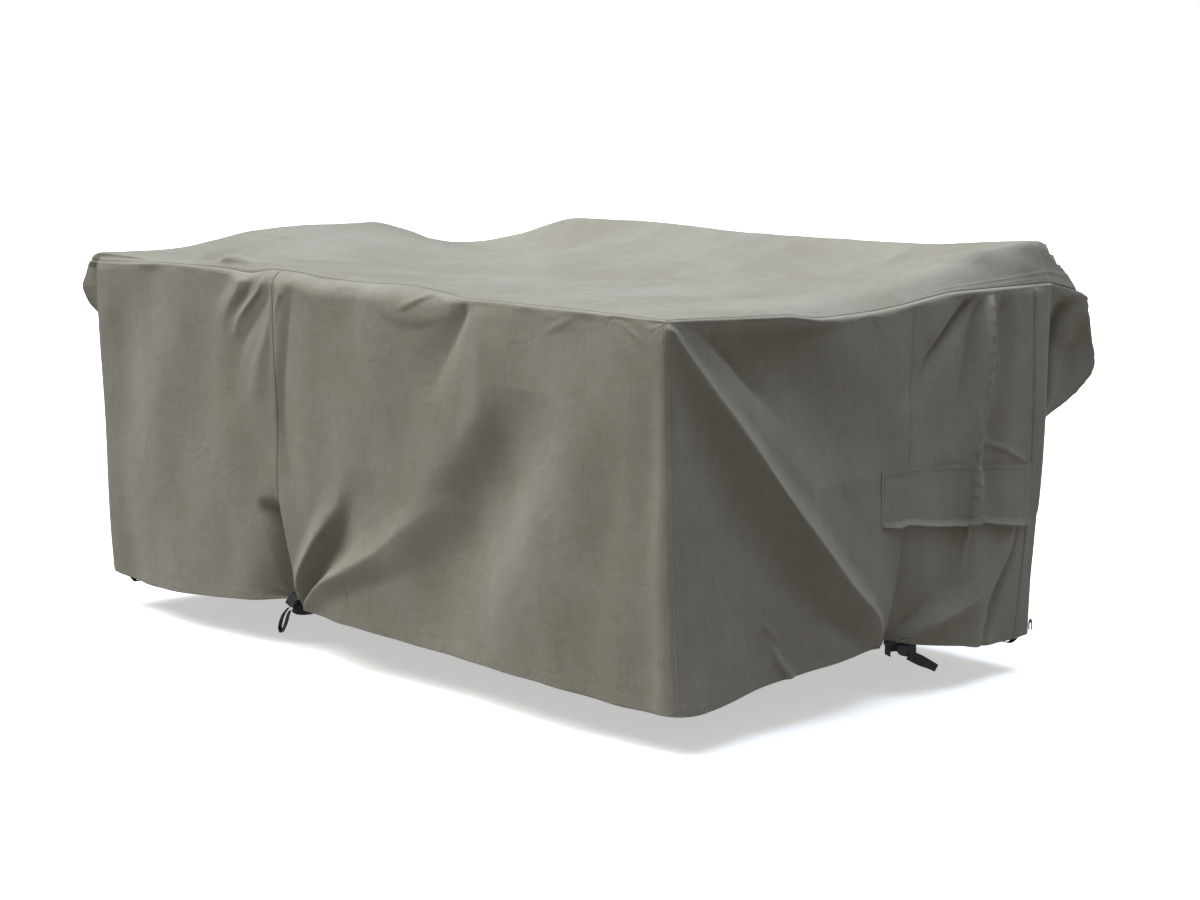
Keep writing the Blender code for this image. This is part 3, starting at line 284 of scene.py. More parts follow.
@dataclass(frozen=True)
class Fold:
    """A soft ridge or trough, or an ear of spare cloth, whose middle runs down a wall."""

    keen: float  # 0 is a round swell, 1 comes to a line, 2 is a tent with keen feet
    rows: Table  # depth, station, height along each way, reach before, reach after

    def relief(self, station: Array, depth: Array) -> Array:
        """Return how far it stands out at places of the wall, way by way in the last axis."""
        middle, *heights, before, after = (read(self.rows, index, depth)
                                           for index in range(1, len(self.rows[0])))
        profile = fold_profile(nearest_turn(station - middle), before, after, self.keen)
        return np.stack([height * profile for height in heights], -1)


@dataclass(frozen=True)
class SeamForm:
    """What a seam does to the cloth beside it, on one side."""

    band: float = 0.0  # width of the strip that the turned-in cloth raises
    lift: float = 0.0  # height of that strip
    rows: tuple[float, ...] = ()  # distances of the rows of stitches from the seam line
    draw: float = 0.0  # height of the small wrinkles that the stitches draw in
    notch: float = 0.0  # depth of the line itself

    def relief(self, away: Array, along: Array, seed: int) -> Array:
        """Return the height of the seam's forms.

        Args:
            away: distances from the seam line.
            along: distances along it.
            seed: picks the wrinkles.

        Returns:
            Heights along the cloth's normal.
        """
        height = self.lift * smooth_step((self.band - away) / SEAM_EASE + 1.0)
        for row in self.rows:
            height = height - STITCH_DENT * np.exp(-((away - row) / STITCH_DENT_WIDTH) ** 2)
        height = height - self.notch * np.exp(-(away / NOTCH_WIDTH) ** 2)
        wave = ripple(along, DRAW_PITCH, seed) * (
            1 - DRAW_WAVER + DRAW_WAVER * ripple(along, 7 * DRAW_PITCH, seed + 1))
        reach = DRAW_REACH * (1.0 + DRAW_RAGGED * ripple(along, 3 * DRAW_PITCH, seed + 2))
        fade = smooth_step(away / DRAW_START) * np.clip(1 - away / reach, 0.0, 1.0) ** 2
        return height + self.draw * wave * fade


class Seam(Enum):
    """The ways in which one panel is joined to the next."""

    FELLED_OVER = SeamForm(band=0.0110, lift=0.0012, rows=(0.0016, 0.0088), draw=0.0007)
    FELLED_UNDER = SeamForm(draw=0.0006)
    CORNER = SeamForm(band=0.0080, lift=0.0004, rows=(0.0060,), draw=0.0005, notch=0.0007)
    TOP_EDGE = SeamForm(band=0.0085, lift=0.0008, rows=(0.0062,), draw=0.0007, notch=0.0006)
    WALL_EDGE = SeamForm(draw=0.0010, notch=0.0005)
    HEM = SeamForm(band=0.0240, lift=0.0004, rows=(0.0225,), draw=0.0008)
    FLAP_HEM = SeamForm(band=0.0110, lift=0.0004, rows=(0.0095,), draw=0.0006)
    FLAP_HEAD = SeamForm(band=0.0120, lift=0.0005, rows=(0.0020, 0.0105), draw=0.0006)

    @property
    def form(self) -> SeamForm:
        """Return the seam's form."""
        return self.value


@dataclass(frozen=True)
class Gather:
    """Pleats that run out of a place where the cloth is drawn together."""

    station: float  # its place along the perimeter
    depth: float  # and below the top seam
    reach: float  # how far the longest pleats run
    height: float  # of the pleats near the middle
    pleats: int  # half waves between straight left and straight right
    seed: int

    def relief(self, station: Array, depth: Array) -> Array:
        """Return the pleats' height at places on the wall."""
        across, up = nearest_turn(station - self.station), self.depth - depth
        distance = np.hypot(across, up)
        angle = np.arctan2(up, across) / math.pi
        wave = ripple(angle, 1.0 / self.pleats, self.seed)
        reach = self.reach * (1 - GATHER_RAGGED + GATHER_RAGGED * ripple(
            angle, GATHER_RAG_PITCH / self.pleats, self.seed + 1))
        fade = np.clip(1 - distance / reach, 0.0, 1.0) ** GATHER_POWER
        return self.height * wave * fade * smooth_step(distance / GATHER_START)


@dataclass(frozen=True)
class Crease:
    """A line along which the cloth is pinched up or pressed in."""

    lee: float  # reach on the right of the path, as a share of that on its left
    sharp: float  # above 1 makes a keener line
    path: Table  # rows of two places in the cloth's plane, height and reach

    def relief(self, x: Array, y: Array) -> Array:
        """Return the crease's height at places in the cloth's plane."""
        rows = np.array(self.path)
        margin = rows[:, 3].max() * max(1.0, self.lee)
        low, high = rows[:, :2].min(0) - margin, rows[:, :2].max(0) + margin
        inside = (x > low[0]) & (x < high[0]) & (y > low[1]) & (y < high[1])
        relief = np.zeros_like(x)
        if not inside.any():
            return relief
        px, py = x[inside], y[inside]
        nearest = np.full(px.shape, np.inf)
        found = np.zeros(px.shape)
        for (x0, y0, h0, r0), (x1, y1, h1, r1) in zip(rows, rows[1:]):
            dx, dy = x1 - x0, y1 - y0
            run = dx * dx + dy * dy
            share = np.clip(((px - x0) * dx + (py - y0) * dy) / run, 0.0, 1.0)
            off_x, off_y = px - x0 - share * dx, py - y0 - share * dy
            distance = np.hypot(off_x, off_y)
            right = dx * off_y - dy * off_x > 0
            reach = (r0 + (r1 - r0) * share) * np.where(right, self.lee, 1.0)
            profile = fold_profile(distance, reach, reach) ** self.sharp
            closer = distance < nearest
            nearest = np.where(closer, distance, nearest)
            found = np.where(closer, (h0 + (h1 - h0) * share) * profile, found)
        relief[inside] = found
        return relief


class Stuff(Enum):
    """What a sheet is cut from: its slot and its thickness."""

    CLOTH = ("cloth", FABRIC)
    WEBBING = ("webbing", WEBBING)


@dataclass(frozen=True)
class WallCut:
    """One wall panel as it is cut and sewn."""

    node: str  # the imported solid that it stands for
    left: str  # name of the line where it starts
    right: str  # and where it ends
    left_seam: Seam  # how it is joined at its start
    right_seam: Seam  # and at its end
    pitch: float  # spacing of its mesh
    seed: int  # picks its wrinkles
    finer: tuple[Triple, ...] = ()  # zones of its width with a finer mesh


# --- Tables, placed one by one ---

# Ground plan radius of each corner, and how far the ties and the sag shift its hem.
CORNER_PLAN = (
    # station, radius at seam, radius at hem, hem shift x, hem shift y
    (0.0, 0.011, 0.026, 0.006, 0.014),
    (NEAR_CORNER, 0.014, 0.066, 0.024, 0.004),
    (FAR_CORNER, 0.016, 0.022, -0.026, -0.022),
    (BACK_LEFT_CORNER, 0.025, 0.035, 0.010, -0.010),
    (PERIMETER, 0.011, 0.026, 0.006, 0.014),
)

# The top seam: station, how far it is drawn in over the top, and how high it rides.
TOP_SEAM = metres((
    (0, 6, 0), (430, 8, 13), (580, 14, 11), (660, 20, 6), (740, 36, 16), (840, 42, 14), (940, 42, 6),
    (1100, 38, 6), (1240, 40, 9), (1380, 34, 1), (1480, 10, -4), (1750, 8, -4), (2120, 4, -8),
    (2340, 10, -16), (2460, 12, -20), (2570, 14, -32), (2700, 14, -29), (2800, 12, -22),
    (2880, 10, -12), (2990, 10, -2), (3310, 4, 0), (3380, 8, -34), (3500, 14, -40), (3750, 16, -30),
    (4300, 18, -12), (4900, 14, -6), (5430, 8, -10), (5750, 14, 10), (6100, 16, 20), (6400, 12, 12),
    (6620, 6, 0),
))

# The hem: station, and its height above its lowest level, to which the ties lift it.
HEM_RISE = metres((
    (0, 4), (60, -4), (170, -9), (640, 18), (765, 32), (810, 18), (980, 21), (1390, 9), (1760, 6),
    (2060, -4), (2180, -2), (2320, 13), (2470, 26), (2710, 36), (2798, 31), (2822, 40), (2894, 28),
    (3017, 11), (3090, -2), (3220, -8), (3310, -4), (3700, -4), (4370, 8), (5000, -3), (5430, 0),
    (6020, 10), (6620, 4),
))

# Lines that part the wall panels: station at the top seam, midway and at the hem.
PANEL_LINES = {
    "left_front_corner": (0.0, 0.0, 0.0),
    "front_felled": (0.772, 0.784, 0.765),
    "near_corner": (2.120, 2.120, 2.120),
    "end_join": (2.852, 2.838, 2.818),
    "far_corner": (3.236, 3.262, 3.246),
    "back_left_corner": (5.430, 5.430, 5.430),
    "left_front_corner_end": (6.620, 6.620, 6.620),
}

# Height of the top panel above the seam's level, over what carries it.
TOP_STATIONS_X = (-0.99, -0.72, -0.46, -0.15, 0.20, 0.55, 0.98, 1.045, 1.085)
TOP_HEIGHTS = metres((  # y, heights at the x stations
    (-535, (22, 12, 34, 16, 2, -4, -4, -4, -4)),
    (-400, (26, 0, 16, 6, -6, -14, -10, -10, -10)),
    (-150, (62, 22, 2, -8, -14, -18, -8, -10, -14)),
    (0, (70, 36, 6, CENTRE_SAG * 1000, -10, -14, 0, -4, -10)),
    (220, (70, 30, 6, 18, 22, 6, 34, 34, 30)),
    (400, (24, -2, 22, 54, 54, 38, 66, 66, 56)),
    (530, (-10, 36, 90, 92, 84, 88, 88, 88, 78)),
    (590, (-10, 40, 94, 94, 86, 90, 92, 90, 80)),
    (635, (-10, 40, 94, 94, 86, 80, 80, 76, 66)),
))

UNEVEN_WAVES = (
    # waves round the perimeter, radians for each metre down, phase
    (23, 5.0, 0.0),
    (41, -9.0, 1.3),
    (17, 11.0, 0.0),
)

# Folds of the walls: ridges are positive and troughs negative.  Each has its keenness
# and its rows of depth, station, height, reach before and reach after.
FOLDS = {name: Fold(keen, metres(rows)) for name, (keen, rows) in {
    # the front wall
    "tie_valley": (2.0, (
        (516, 762, 0, 50, 24), (546, 761, -3, 66, 26), (562, 761, -22, 74, 28), (578, 762, -44, 72, 29),
        (606, 766, -52, 62, 31), (650, 768, -50, 46, 34), (700, 767, -40, 34, 38), (760, 763, -20, 23, 36),
        (800, 762, -6, 15, 30))),
    "tie_ridge_steep": (0.4, (
        (400, 1062, 0, 80, 50), (454, 1044, 3, 80, 50), (506, 1028, 8, 85, 50), (566, 988, 16, 85, 50),
        (618, 940, 19, 75, 48), (680, 878, 16, 55, 42), (740, 822, 9, 36, 34), (795, 785, 2, 20, 30))),
    "tie_trough_right": (0.2, (
        (420, 1112, 0, 90, 110), (470, 1096, -3, 88, 120), (520, 1070, -8, 84, 130),
        (592, 1018, -18, 76, 126), (637, 975, -25, 66, 108), (700, 907, -27, 52, 80),
        (752, 850, -21, 40, 56), (795, 805, -4, 24, 34))),
    "tie_ridge_slant": (0.6, (
        (440, 1420, 0, 110, 140), (500, 1330, 6, 120, 160), (560, 1240, 12, 120, 170),
        (611, 1168, 16, 110, 180), (666, 1064, 20, 80, 170), (714, 960, 20, 56, 140),
        (765, 874, 15, 42, 110), (800, 836, 8, 30, 90))),
    "felled_seam_trough": (0.5, (
        (15, 850, 0, 30, 50), (50, 846, -8, 40, 90), (122, 832, -12, 40, 120), (180, 820, -12, 36, 130),
        (260, 806, -11, 30, 130), (350, 801, -9, 28, 110), (450, 822, -7, 32, 80), (540, 870, 0, 40, 70))),
    "front_ridge_high": (0.3, (
        (10, 1540, 0, 50, 140), (40, 1540, 7, 55, 150), (100, 1552, 12, 70, 180), (214, 1556, 11, 90, 200),
        (300, 1540, 6, 100, 200), (400, 1520, 0, 110, 180))),
    "front_hollow_short": (0.8, (
        (5, 1494, 0, 40, 20), (30, 1488, -11, 60, 30), (60, 1470, -15, 90, 40), (100, 1442, -14, 100, 60),
        (150, 1410, -10, 110, 84), (240, 1360, 0, 100, 100))),
    "front_broad_trough": (0.0, (
        (180, 1670, 0, 120, 190), (260, 1640, -12, 140, 220), (340, 1596, -23, 170, 240),
        (438, 1530, -30, 200, 250), (538, 1462, -31, 210, 260), (656, 1396, -24, 200, 250),
        (800, 1364, -12, 180, 230))),
    "front_belly": (0.0, (
        (50, 1820, 0, 160, 150), (250, 1850, 13, 190, 150), (550, 1800, 21, 220, 150),
        (800, 1760, 13, 230, 160))),
    "near_corner_trough": (0.0, (
        (100, 2070, 0, 40, 30), (200, 2070, -4, 60, 34), (400, 2060, -6, 80, 50), (700, 2050, -6, 80, 60),
        (800, 2050, -4, 80, 60))),
    "shoulder_fan_ridge_outer": (0.4, (
        (0, 664, 4, 70, 34), (38, 645, 10, 74, 44), (86, 600, 8, 74, 50), (125, 576, 5, 70, 56),
        (190, 560, 0, 60, 44))),
    "shoulder_fan_trough_outer": (0.8, (
        (10, 704, 0, 22, 22), (58, 668, -3, 32, 30), (102, 622, -2, 36, 36), (150, 598, 0, 30, 34))),
    "shoulder_fan_ridge_inner": (0.8, (
        (10, 740, 0, 30, 22), (45, 722, 6, 40, 26), (86, 672, 8, 42, 30), (122, 634, 5, 42, 34),
        (170, 618, 0, 40, 40))),
    "shoulder_fan_hollow": (0.6, (
        (15, 764, 0, 34, 10), (61, 756, -4, 42, 18), (112, 710, -6, 56, 52), (170, 652, -7, 72, 72),
        (240, 626, -6, 86, 95), (380, 606, 0, 100, 110))),
    "shoulder_fan_ridge_low": (0.0, (
        (100, 760, 0, 24, 14), (157, 750, 5, 36, 20), (220, 726, 6, 46, 38), (330, 700, 0, 60, 60))),
    "left_panel_swell": (0.0, (
        (100, 300, 0, 180, 200), (350, 300, 10, 220, 240), (600, 340, 10, 240, 260),
        (820, 360, 6, 240, 260))),
    "left_edge_trough": (0.0, (
        (50, 100, 0, 70, 90), (200, 105, -6, 80, 100), (500, 110, -6, 80, 110), (800, 120, -4, 80, 110))),
    # the near end wall
    "end_tension_ridge": (0.9, (
        (0, 2120, 0, 14, 18), (20, 2128, 8, 18, 24), (96, 2184, 18, 34, 48), (170, 2240, 25, 46, 64),
        (269, 2318, 29, 58, 74), (390, 2424, 31, 66, 80), (518, 2530, 31, 66, 80), (640, 2645, 27, 58, 68),
        (730, 2744, 17, 42, 46), (790, 2796, 6, 30, 30))),
    "end_tension_swell": (0.0, (
        (50, 2150, 0, 70, 100), (170, 2250, 7, 90, 140), (390, 2440, 13, 120, 180),
        (600, 2620, 12, 120, 160), (760, 2780, 0, 80, 100))),
    "end_tension_trough": (0.0, (
        (40, 2118, 0, 30, 30), (110, 2140, -5, 50, 36), (227, 2200, -9, 90, 60), (352, 2282, -12, 140, 80),
        (518, 2420, -14, 160, 84), (611, 2520, -14, 150, 76), (701, 2634, -13, 130, 60),
        (770, 2740, -10, 110, 44), (820, 2785, -7, 90, 36))),
    "end_hollow": (0.0, (
        (0, 2420, 0, 280, 240), (16, 2410, -30, 270, 250), (40, 2410, -45, 250, 260),
        (110, 2440, -44, 230, 260), (210, 2520, -28, 190, 240), (380, 2640, 0, 150, 190))),
    "end_hollow_lobe": (0.5, (
        (12, 2240, 0, 50, 60), (40, 2262, -16, 52, 80), (90, 2316, -24, 48, 80), (150, 2376, -21, 46, 74),
        (200, 2424, -10, 46, 70), (260, 2470, 0, 50, 70))),
    "fan_trough_slant": (1.2, (
        (6, 3036, 0, 34, 20), (24, 3026, -19, 40, 24), (74, 2976, -28, 56, 48), (138, 2900, -19, 72, 64),
        (250, 2820, 0, 90, 80))),
    "fan_trough": (0.7, (
        (16, 3062, 0, 24, 20), (60, 3050, -17, 34, 24), (200, 3014, -18, 70, 40), (360, 2960, 0, 100, 60))),
    "fan_ridge": (1.0, (
        (12, 3094, 2, 20, 20), (38, 3090, 18, 30, 24), (109, 3080, 29, 44, 28), (195, 3068, 33, 54, 28),
        (285, 3052, 32, 60, 26), (360, 3038, 30, 64, 24), (460, 3024, 26, 66, 22), (530, 3018, 18, 60, 24),
        (640, 3006, 0, 50, 34))),
    "fan_trough_right": (0.0, (
        (14, 3138, 0, 26, 40), (54, 3136, -14, 36, 50), (163, 3132, -16, 40, 60), (300, 3110, -14, 44, 70),
        (440, 3090, -9, 44, 70), (560, 3080, 0, 40, 60))),
    "end_tie_ridge_right": (0.7, (
        (520, 3210, 0, 60, 50), (600, 3170, 12, 80, 50), (690, 3070, 14, 100, 56), (750, 2940, 11, 80, 60),
        (795, 2865, 0, 50, 60))),
    "end_tie_trough_right": (0.6, (
        (560, 2960, 0, 100, 100), (660, 2940, -12, 100, 100), (730, 2880, -16, 60, 70),
        (795, 2835, -10, 40, 50))),
    "hem_corner_trough": (0.8, (
        (500, 3230, 0, 30, 16), (600, 3206, -9, 40, 18), (700, 3154, -14, 45, 22),
        (790, 3112, -10, 40, 26))),
    "corner_strip_step": (0.3, (
        (514, 3298, 0, 34, 30), (526, 3298, -5, 36, 32), (600, 3294, -4, 36, 34), (700, 3290, 0, 36, 34))),
    # the back wall and the left end
    "back_swell_left": (0.0, (
        (20, 5000, 0, 220, 220), (180, 5000, 29, 240, 220), (600, 4980, 16, 240, 220),
        (820, 4960, 8, 240, 220))),
    "back_trough": (0.0, (
        (60, 4450, 0, 160, 200), (300, 4460, -23, 160, 200), (600, 4420, -34, 170, 190),
        (820, 4380, -23, 160, 180))),
    "back_ridge_slant": (0.0, (
        (60, 3900, 0, 100, 120), (250, 4000, 21, 120, 140), (500, 4160, 29, 120, 120),
        (760, 4300, 10, 100, 100))),
    "left_end_ridge": (0.0, (
        (40, 6080, 0, 180, 180), (220, 6060, 29, 200, 200), (550, 6040, 18, 180, 200),
        (820, 6020, 5, 160, 180))),
    "left_end_trough": (0.0, (
        (100, 5700, 0, 120, 130), (340, 5720, -23, 130, 140), (640, 5740, -26, 130, 140),
        (840, 5740, -13, 130, 140))),
}.items()}

# Corners of spare cloth that stand out past the walls like ears, and the gaps beside
# them.  Their rows hold depth, station, push x, push y, reach before and reach after.
EARS = {name: Fold(keen, metres(rows)) for name, (keen, rows) in {
    "back_right": (0.4, (
        (0, 3356, 48, 92, 46, 200), (14, 3360, 60, 118, 48, 210), (50, 3368, 66, 130, 50, 220),
        (110, 3374, 74, 148, 52, 240), (150, 3378, 79, 158, 54, 260), (180, 3378, 78, 156, 54, 250),
        (215, 3376, 67, 134, 54, 240), (250, 3372, 48, 98, 54, 220), (285, 3368, 24, 50, 54, 200),
        (330, 3366, 0, 0, 54, 160))),
    "left_front": (0.6, (
        (0, 6580, -52, -28, 120, 35), (12, 6580, -62, -33, 130, 36), (40, 6580, -74, -40, 150, 36),
        (70, 6580, -84, -46, 150, 36), (110, 6580, -66, -36, 140, 36), (145, 6580, -30, -16, 130, 36),
        (210, 6580, 0, 0, 120, 36))),
    "back_right_gap": (0.6, (
        (20, 3340, 0, 0, 12, 12), (45, 3339, -26, 20, 14, 14), (140, 3336, -34, 26, 16, 16),
        (240, 3334, -30, 24, 15, 15), (360, 3330, -10, 8, 12, 12), (450, 3328, 0, 0, 10, 10))),
    "back_right_hollow": (0.3, (
        (50, 3358, 0, 0, 10, 20), (90, 3360, -14, 10, 14, 30), (142, 3356, -28, 20, 16, 36),
        (210, 3354, -26, 18, 16, 40), (300, 3350, 0, 0, 12, 30))),
    "left_front_gap": (0.6, (
        (6, 6602, 0, 0, 16, 14), (22, 6600, 22, 44, 17, 16), (80, 6600, 28, 60, 18, 17),
        (130, 6601, 14, 32, 16, 16), (180, 6603, 0, 0, 14, 14))),
}.items()}

# Where a tie draws the hem in: station, drawn in, reach before, reach after, reach up.
TIE_PULLS = {
    "front_tie": (0.765, 0.066, 0.200, 0.300, 0.340),
    "end_tie": (2.818, 0.060, 0.260, 0.220, 0.300),
}

# The flap: station, depth of the sewn edge, depth of the free edge.
FLAP = metres((
    (2748, 374, 504), (2860, 380, 516), (2960, 384, 524), (3000, 385, 524), (3028, 386, 514),
    (3140, 390, 526), (3215, 396, 536), (3262, 398, 540),
))

# Places where the cloth is drawn together.
GATHERS = tuple(Gather(*row) for row in (
    # station, depth, reach, height, pleats, seed
    (0.765, 0.800, 0.190, 0.0042, 15, 21),
    (2.818, 0.800, 0.200, 0.0042, 15, 25),
    (2.122, 0.004, 0.110, 0.0020, 17, 29),
    (3.236, 0.004, 0.080, 0.0018, 13, 33),
    (2.700, 0.006, 0.100, 0.0026, 13, 34),
    (1.960, 0.004, 0.090, 0.0018, 13, 35),
))

# Broad unevenness of the walls and of the top.
WALL_PATCHES = (
    # height, pitch, stretch downwards, seed
    (0.0022, 0.150, 0.7, 51),
    (0.0009, 0.060, 0.6, 52),
    (0.0003, 0.024, 0.8, 53),
)
TOP_PATCHES = (
    # height, pitch, seed
    (0.0030, 0.170, 61),
    (0.0012, 0.070, 62),
    (0.0003, 0.026, 63),
)

# Lines pulled or pressed into the walls: lee, sharpness, and the path's rows of
# station, depth, height and reach.
WALL_CREASES = tuple(Crease(lee, sharp, metres(path)) for lee, sharp, path in (
    (0.25, 1.4, (
        (3044, 240, 0, 20), (3034, 340, 7, 28), (3024, 420, 11, 34), (3018, 510, 10, 32),
        (3014, 540, 4, 26), (3006, 600, 0, 20))),
    (0.5, 1.5, (
        (3044, 312, 0, 10), (3100, 342, 4, 12), (3160, 360, 5, 12), (3215, 384, 4, 10), (3256, 400, 0, 8))),
    (1.0, 1.5, ((2364, 646, 0, 6), (2388, 672, 3, 10), (2412, 694, 2.6, 10), (2436, 710, 0, 8))),
    (0.6, 1.5, ((2400, 704, 0, 10), (2420, 749, 5.5, 20), (2460, 799, 7.5, 24))),
    (1.0, 1.5, ((2436, 712, 0, 8), (2448, 700, 2.4, 10), (2466, 686, 0, 8))),
    (1.0, 1.5, ((2905, 742, 0, 5), (2940, 738, 2, 8), (2980, 741, 0, 6))),
    (1.0, 1.5, ((2905, 752, 0, 5), (2930, 751, 1.5, 6), (2955, 753, 0, 6))),
    (1.0, 1.4, ((2128, 192, 0, 8), (2152, 193, 2.2, 10), (2176, 198, 0, 8))),
    (1.0, 1.4, ((2132, 237, 0, 8), (2150, 250, 2.2, 10), (2168, 269, 0, 8))),
    (0.6, 1.0, (
        (1150, 30, 0, 30), (1220, 56, 3, 44), (1272, 66, 4.5, 50), (1336, 62, 4, 44), (1392, 50, 1.6, 30),
        (1430, 40, 0, 24))),
    (0.6, 1.2, ((1250, 56, 0, 14), (1290, 40, 4, 18), (1336, 19, 4.5, 16), (1372, 4, 2, 12))),
    (1.0, 1.3, ((1052, 700, 0, 8), (1056, 730, -3, 10), (1064, 775, -1, 8))),
    (1.0, 1.0, ((1980, 12, 0, 8), (2030, 34, 2.2, 10), (2070, 60, 0, 10))),
    (1.0, 1.0, ((1850, 14, 0, 10), (1800, 36, 2.4, 14), (1740, 60, 0, 14))),
    (1.0, 1.2, ((786, 20, 0, 12), (808, 51, 5, 18), (790, 86, 4, 14), (784, 130, 0, 10))),
))

# Lines pulled into the top panel: the same, with rows of x, y, height and reach.
TOP_CREASES = tuple(Crease(lee, sharp, metres(path)) for lee, sharp, path in (
    (1.0, 1.0, (
        (-700, -545, 0, 20), (-640, -470, 13.2, 40), (-560, -360, 8.8, 50), (-470, -220, 0, 50))),
    (0.5, 1.0, ((-665, -580, 0, 30), (-860, -400, 12, 50), (-890, -330, 11, 60), (-890, -262, 0, 50))),
    (0.6, 1.0, (
        (-537, -573, 0, 20), (-511, -567, 13.2, 30), (-476, -555, 11, 30), (-408, -551, 0, 30))),
    (1.0, 1.0, ((-226, -553, 0, 12), (-119, -547, 4.8, 16), (-15, -537, 4, 14), (60, -528, 0, 12))),
    (1.0, 1.0, ((58, -536, 0, 12), (31, -455, 6.6, 16), (102, -430, 6.6, 16), (334, -552, 0, 12))),
    (0.7, 1.0, ((815, 288, 0, 20), (786, 372, 13.2, 40), (773, 444, 13.2, 50), (776, 485, 0, 50))),
    (0.7, 1.0, ((918, 255, 0, 20), (951, 334, 11, 40), (986, 412, 11, 50), (1006, 473, 0, 50))),
    (0.7, 1.0, ((856, 51, 0, 20), (862, 140, 8.8, 30), (901, 195, 6.6, 30), (937, 234, 0, 30))),
    (1.0, 1.0, ((689, -550, 0, 12), (617, -404, 4.8, 16), (700, -394, 4.8, 16), (930, -521, 0, 12))),
    (0.8, 1.0, ((1021, 451, 0, 20), (1036, 490, 11, 30), (1046, 543, 8.8, 20), (1051, 574, 0, 15))),
))

TIE_YAWS = {"front_tie": math.radians(20.0), "end_tie": math.radians(66.0)}
STRAP_LOOP_YAW = math.radians(21.0)

# Runs of webbing in their tie's own frame: node, tie, how it is held, and rows of
# along, out, up and width.
STRAPS = (
    ("front_gather_strap", "front_tie", "stretched", (
        (-2, 30, -22, 12), (5, 20, -26, 20), (16, 4, -27, 24), (24, -18, -27, 25), (24, -44, -27, 25),
        (10, -70, -27, 25), (-14, -76, -27, 25), (-34, -58, -27, 25), (-36, -30, -27, 25),
        (-26, -6, -27, 25))),
    ("front_strap_loop", "front_tie", "folded", (
        (-14, 31, -20, 10), (-30, 28, -38, 14), (-42, 24, -62, 15), (-45, 22, -74, 15), (-41, 21, -83, 15),
        (-35, 21, -74, 15), (-27, 22, -58, 15), (-19, 25, -40, 14), (-10, 30, -26, 10))),
    ("end_gather_strap", "end_tie", "stretched", (
        (38, 11, -14, 14), (52, 6, -22, 22), (76, -4, -26, 25), (96, -22, -27, 25), (96, -48, -27, 25),
        (76, -66, -27, 25), (50, -64, -27, 25), (34, -44, -27, 25), (34, -18, -27, 25))),
    ("end_strap_tail", "end_tie", "hung", (
        (66, 6, -32, 22), (94, 6, -46, 24), (114, 8, -56, 20), (132, 10, -66, 17))),
)
# The drawcord's bight that looks out of the knot: along, out and up.
DRAWCORD_BIGHT = metres((
    (28, 17, 2.2), (40, 20, 6), (51, 20.5, 9.2), (57.2, 20.5, 9), (59.8, 20.5, 5), (58.4, 20.5, 0.8),
    (54, 20.5, -1), (42, 20, -0.4), (28, 17, -1),
))
CORNER_STRAPS = (
    # node, first station, last station
    ("corner_strap_right", 3.215, 3.275),
    ("corner_strap_left", 0.075, 0.120),
)

WALL_CUTS = (
    WallCut("front_panel_left", "left_front_corner", "front_felled",
            Seam.CORNER, Seam.FELLED_OVER, WALL_PITCH, 101, ((0.60, 0.784, 0.0040),)),
    WallCut("front_panel_right", "front_felled", "near_corner",
            Seam.FELLED_UNDER, Seam.CORNER, WALL_PITCH, 111, ((0.0, 0.20, 0.0048),)),
    WallCut("end_panel_near", "near_corner", "end_join",
            Seam.CORNER, Seam.FELLED_OVER, WALL_PITCH, 121),
    WallCut("end_panel_far", "end_join", "far_corner",
            Seam.FELLED_UNDER, Seam.FELLED_UNDER, WALL_PITCH, 131),
    WallCut("back_panel", "far_corner", "back_left_corner", Seam.FELLED_OVER, Seam.CORNER,
            HIDDEN_PITCH, 141, ((0.0, 0.14, 0.0030), (0.14, 0.32, 0.0046))),
    WallCut("left_end_panel", "back_left_corner", "left_front_corner_end",
            Seam.CORNER, Seam.CORNER, HIDDEN_PITCH, 151),
)


# --- The drape: one surface for the whole cover ---

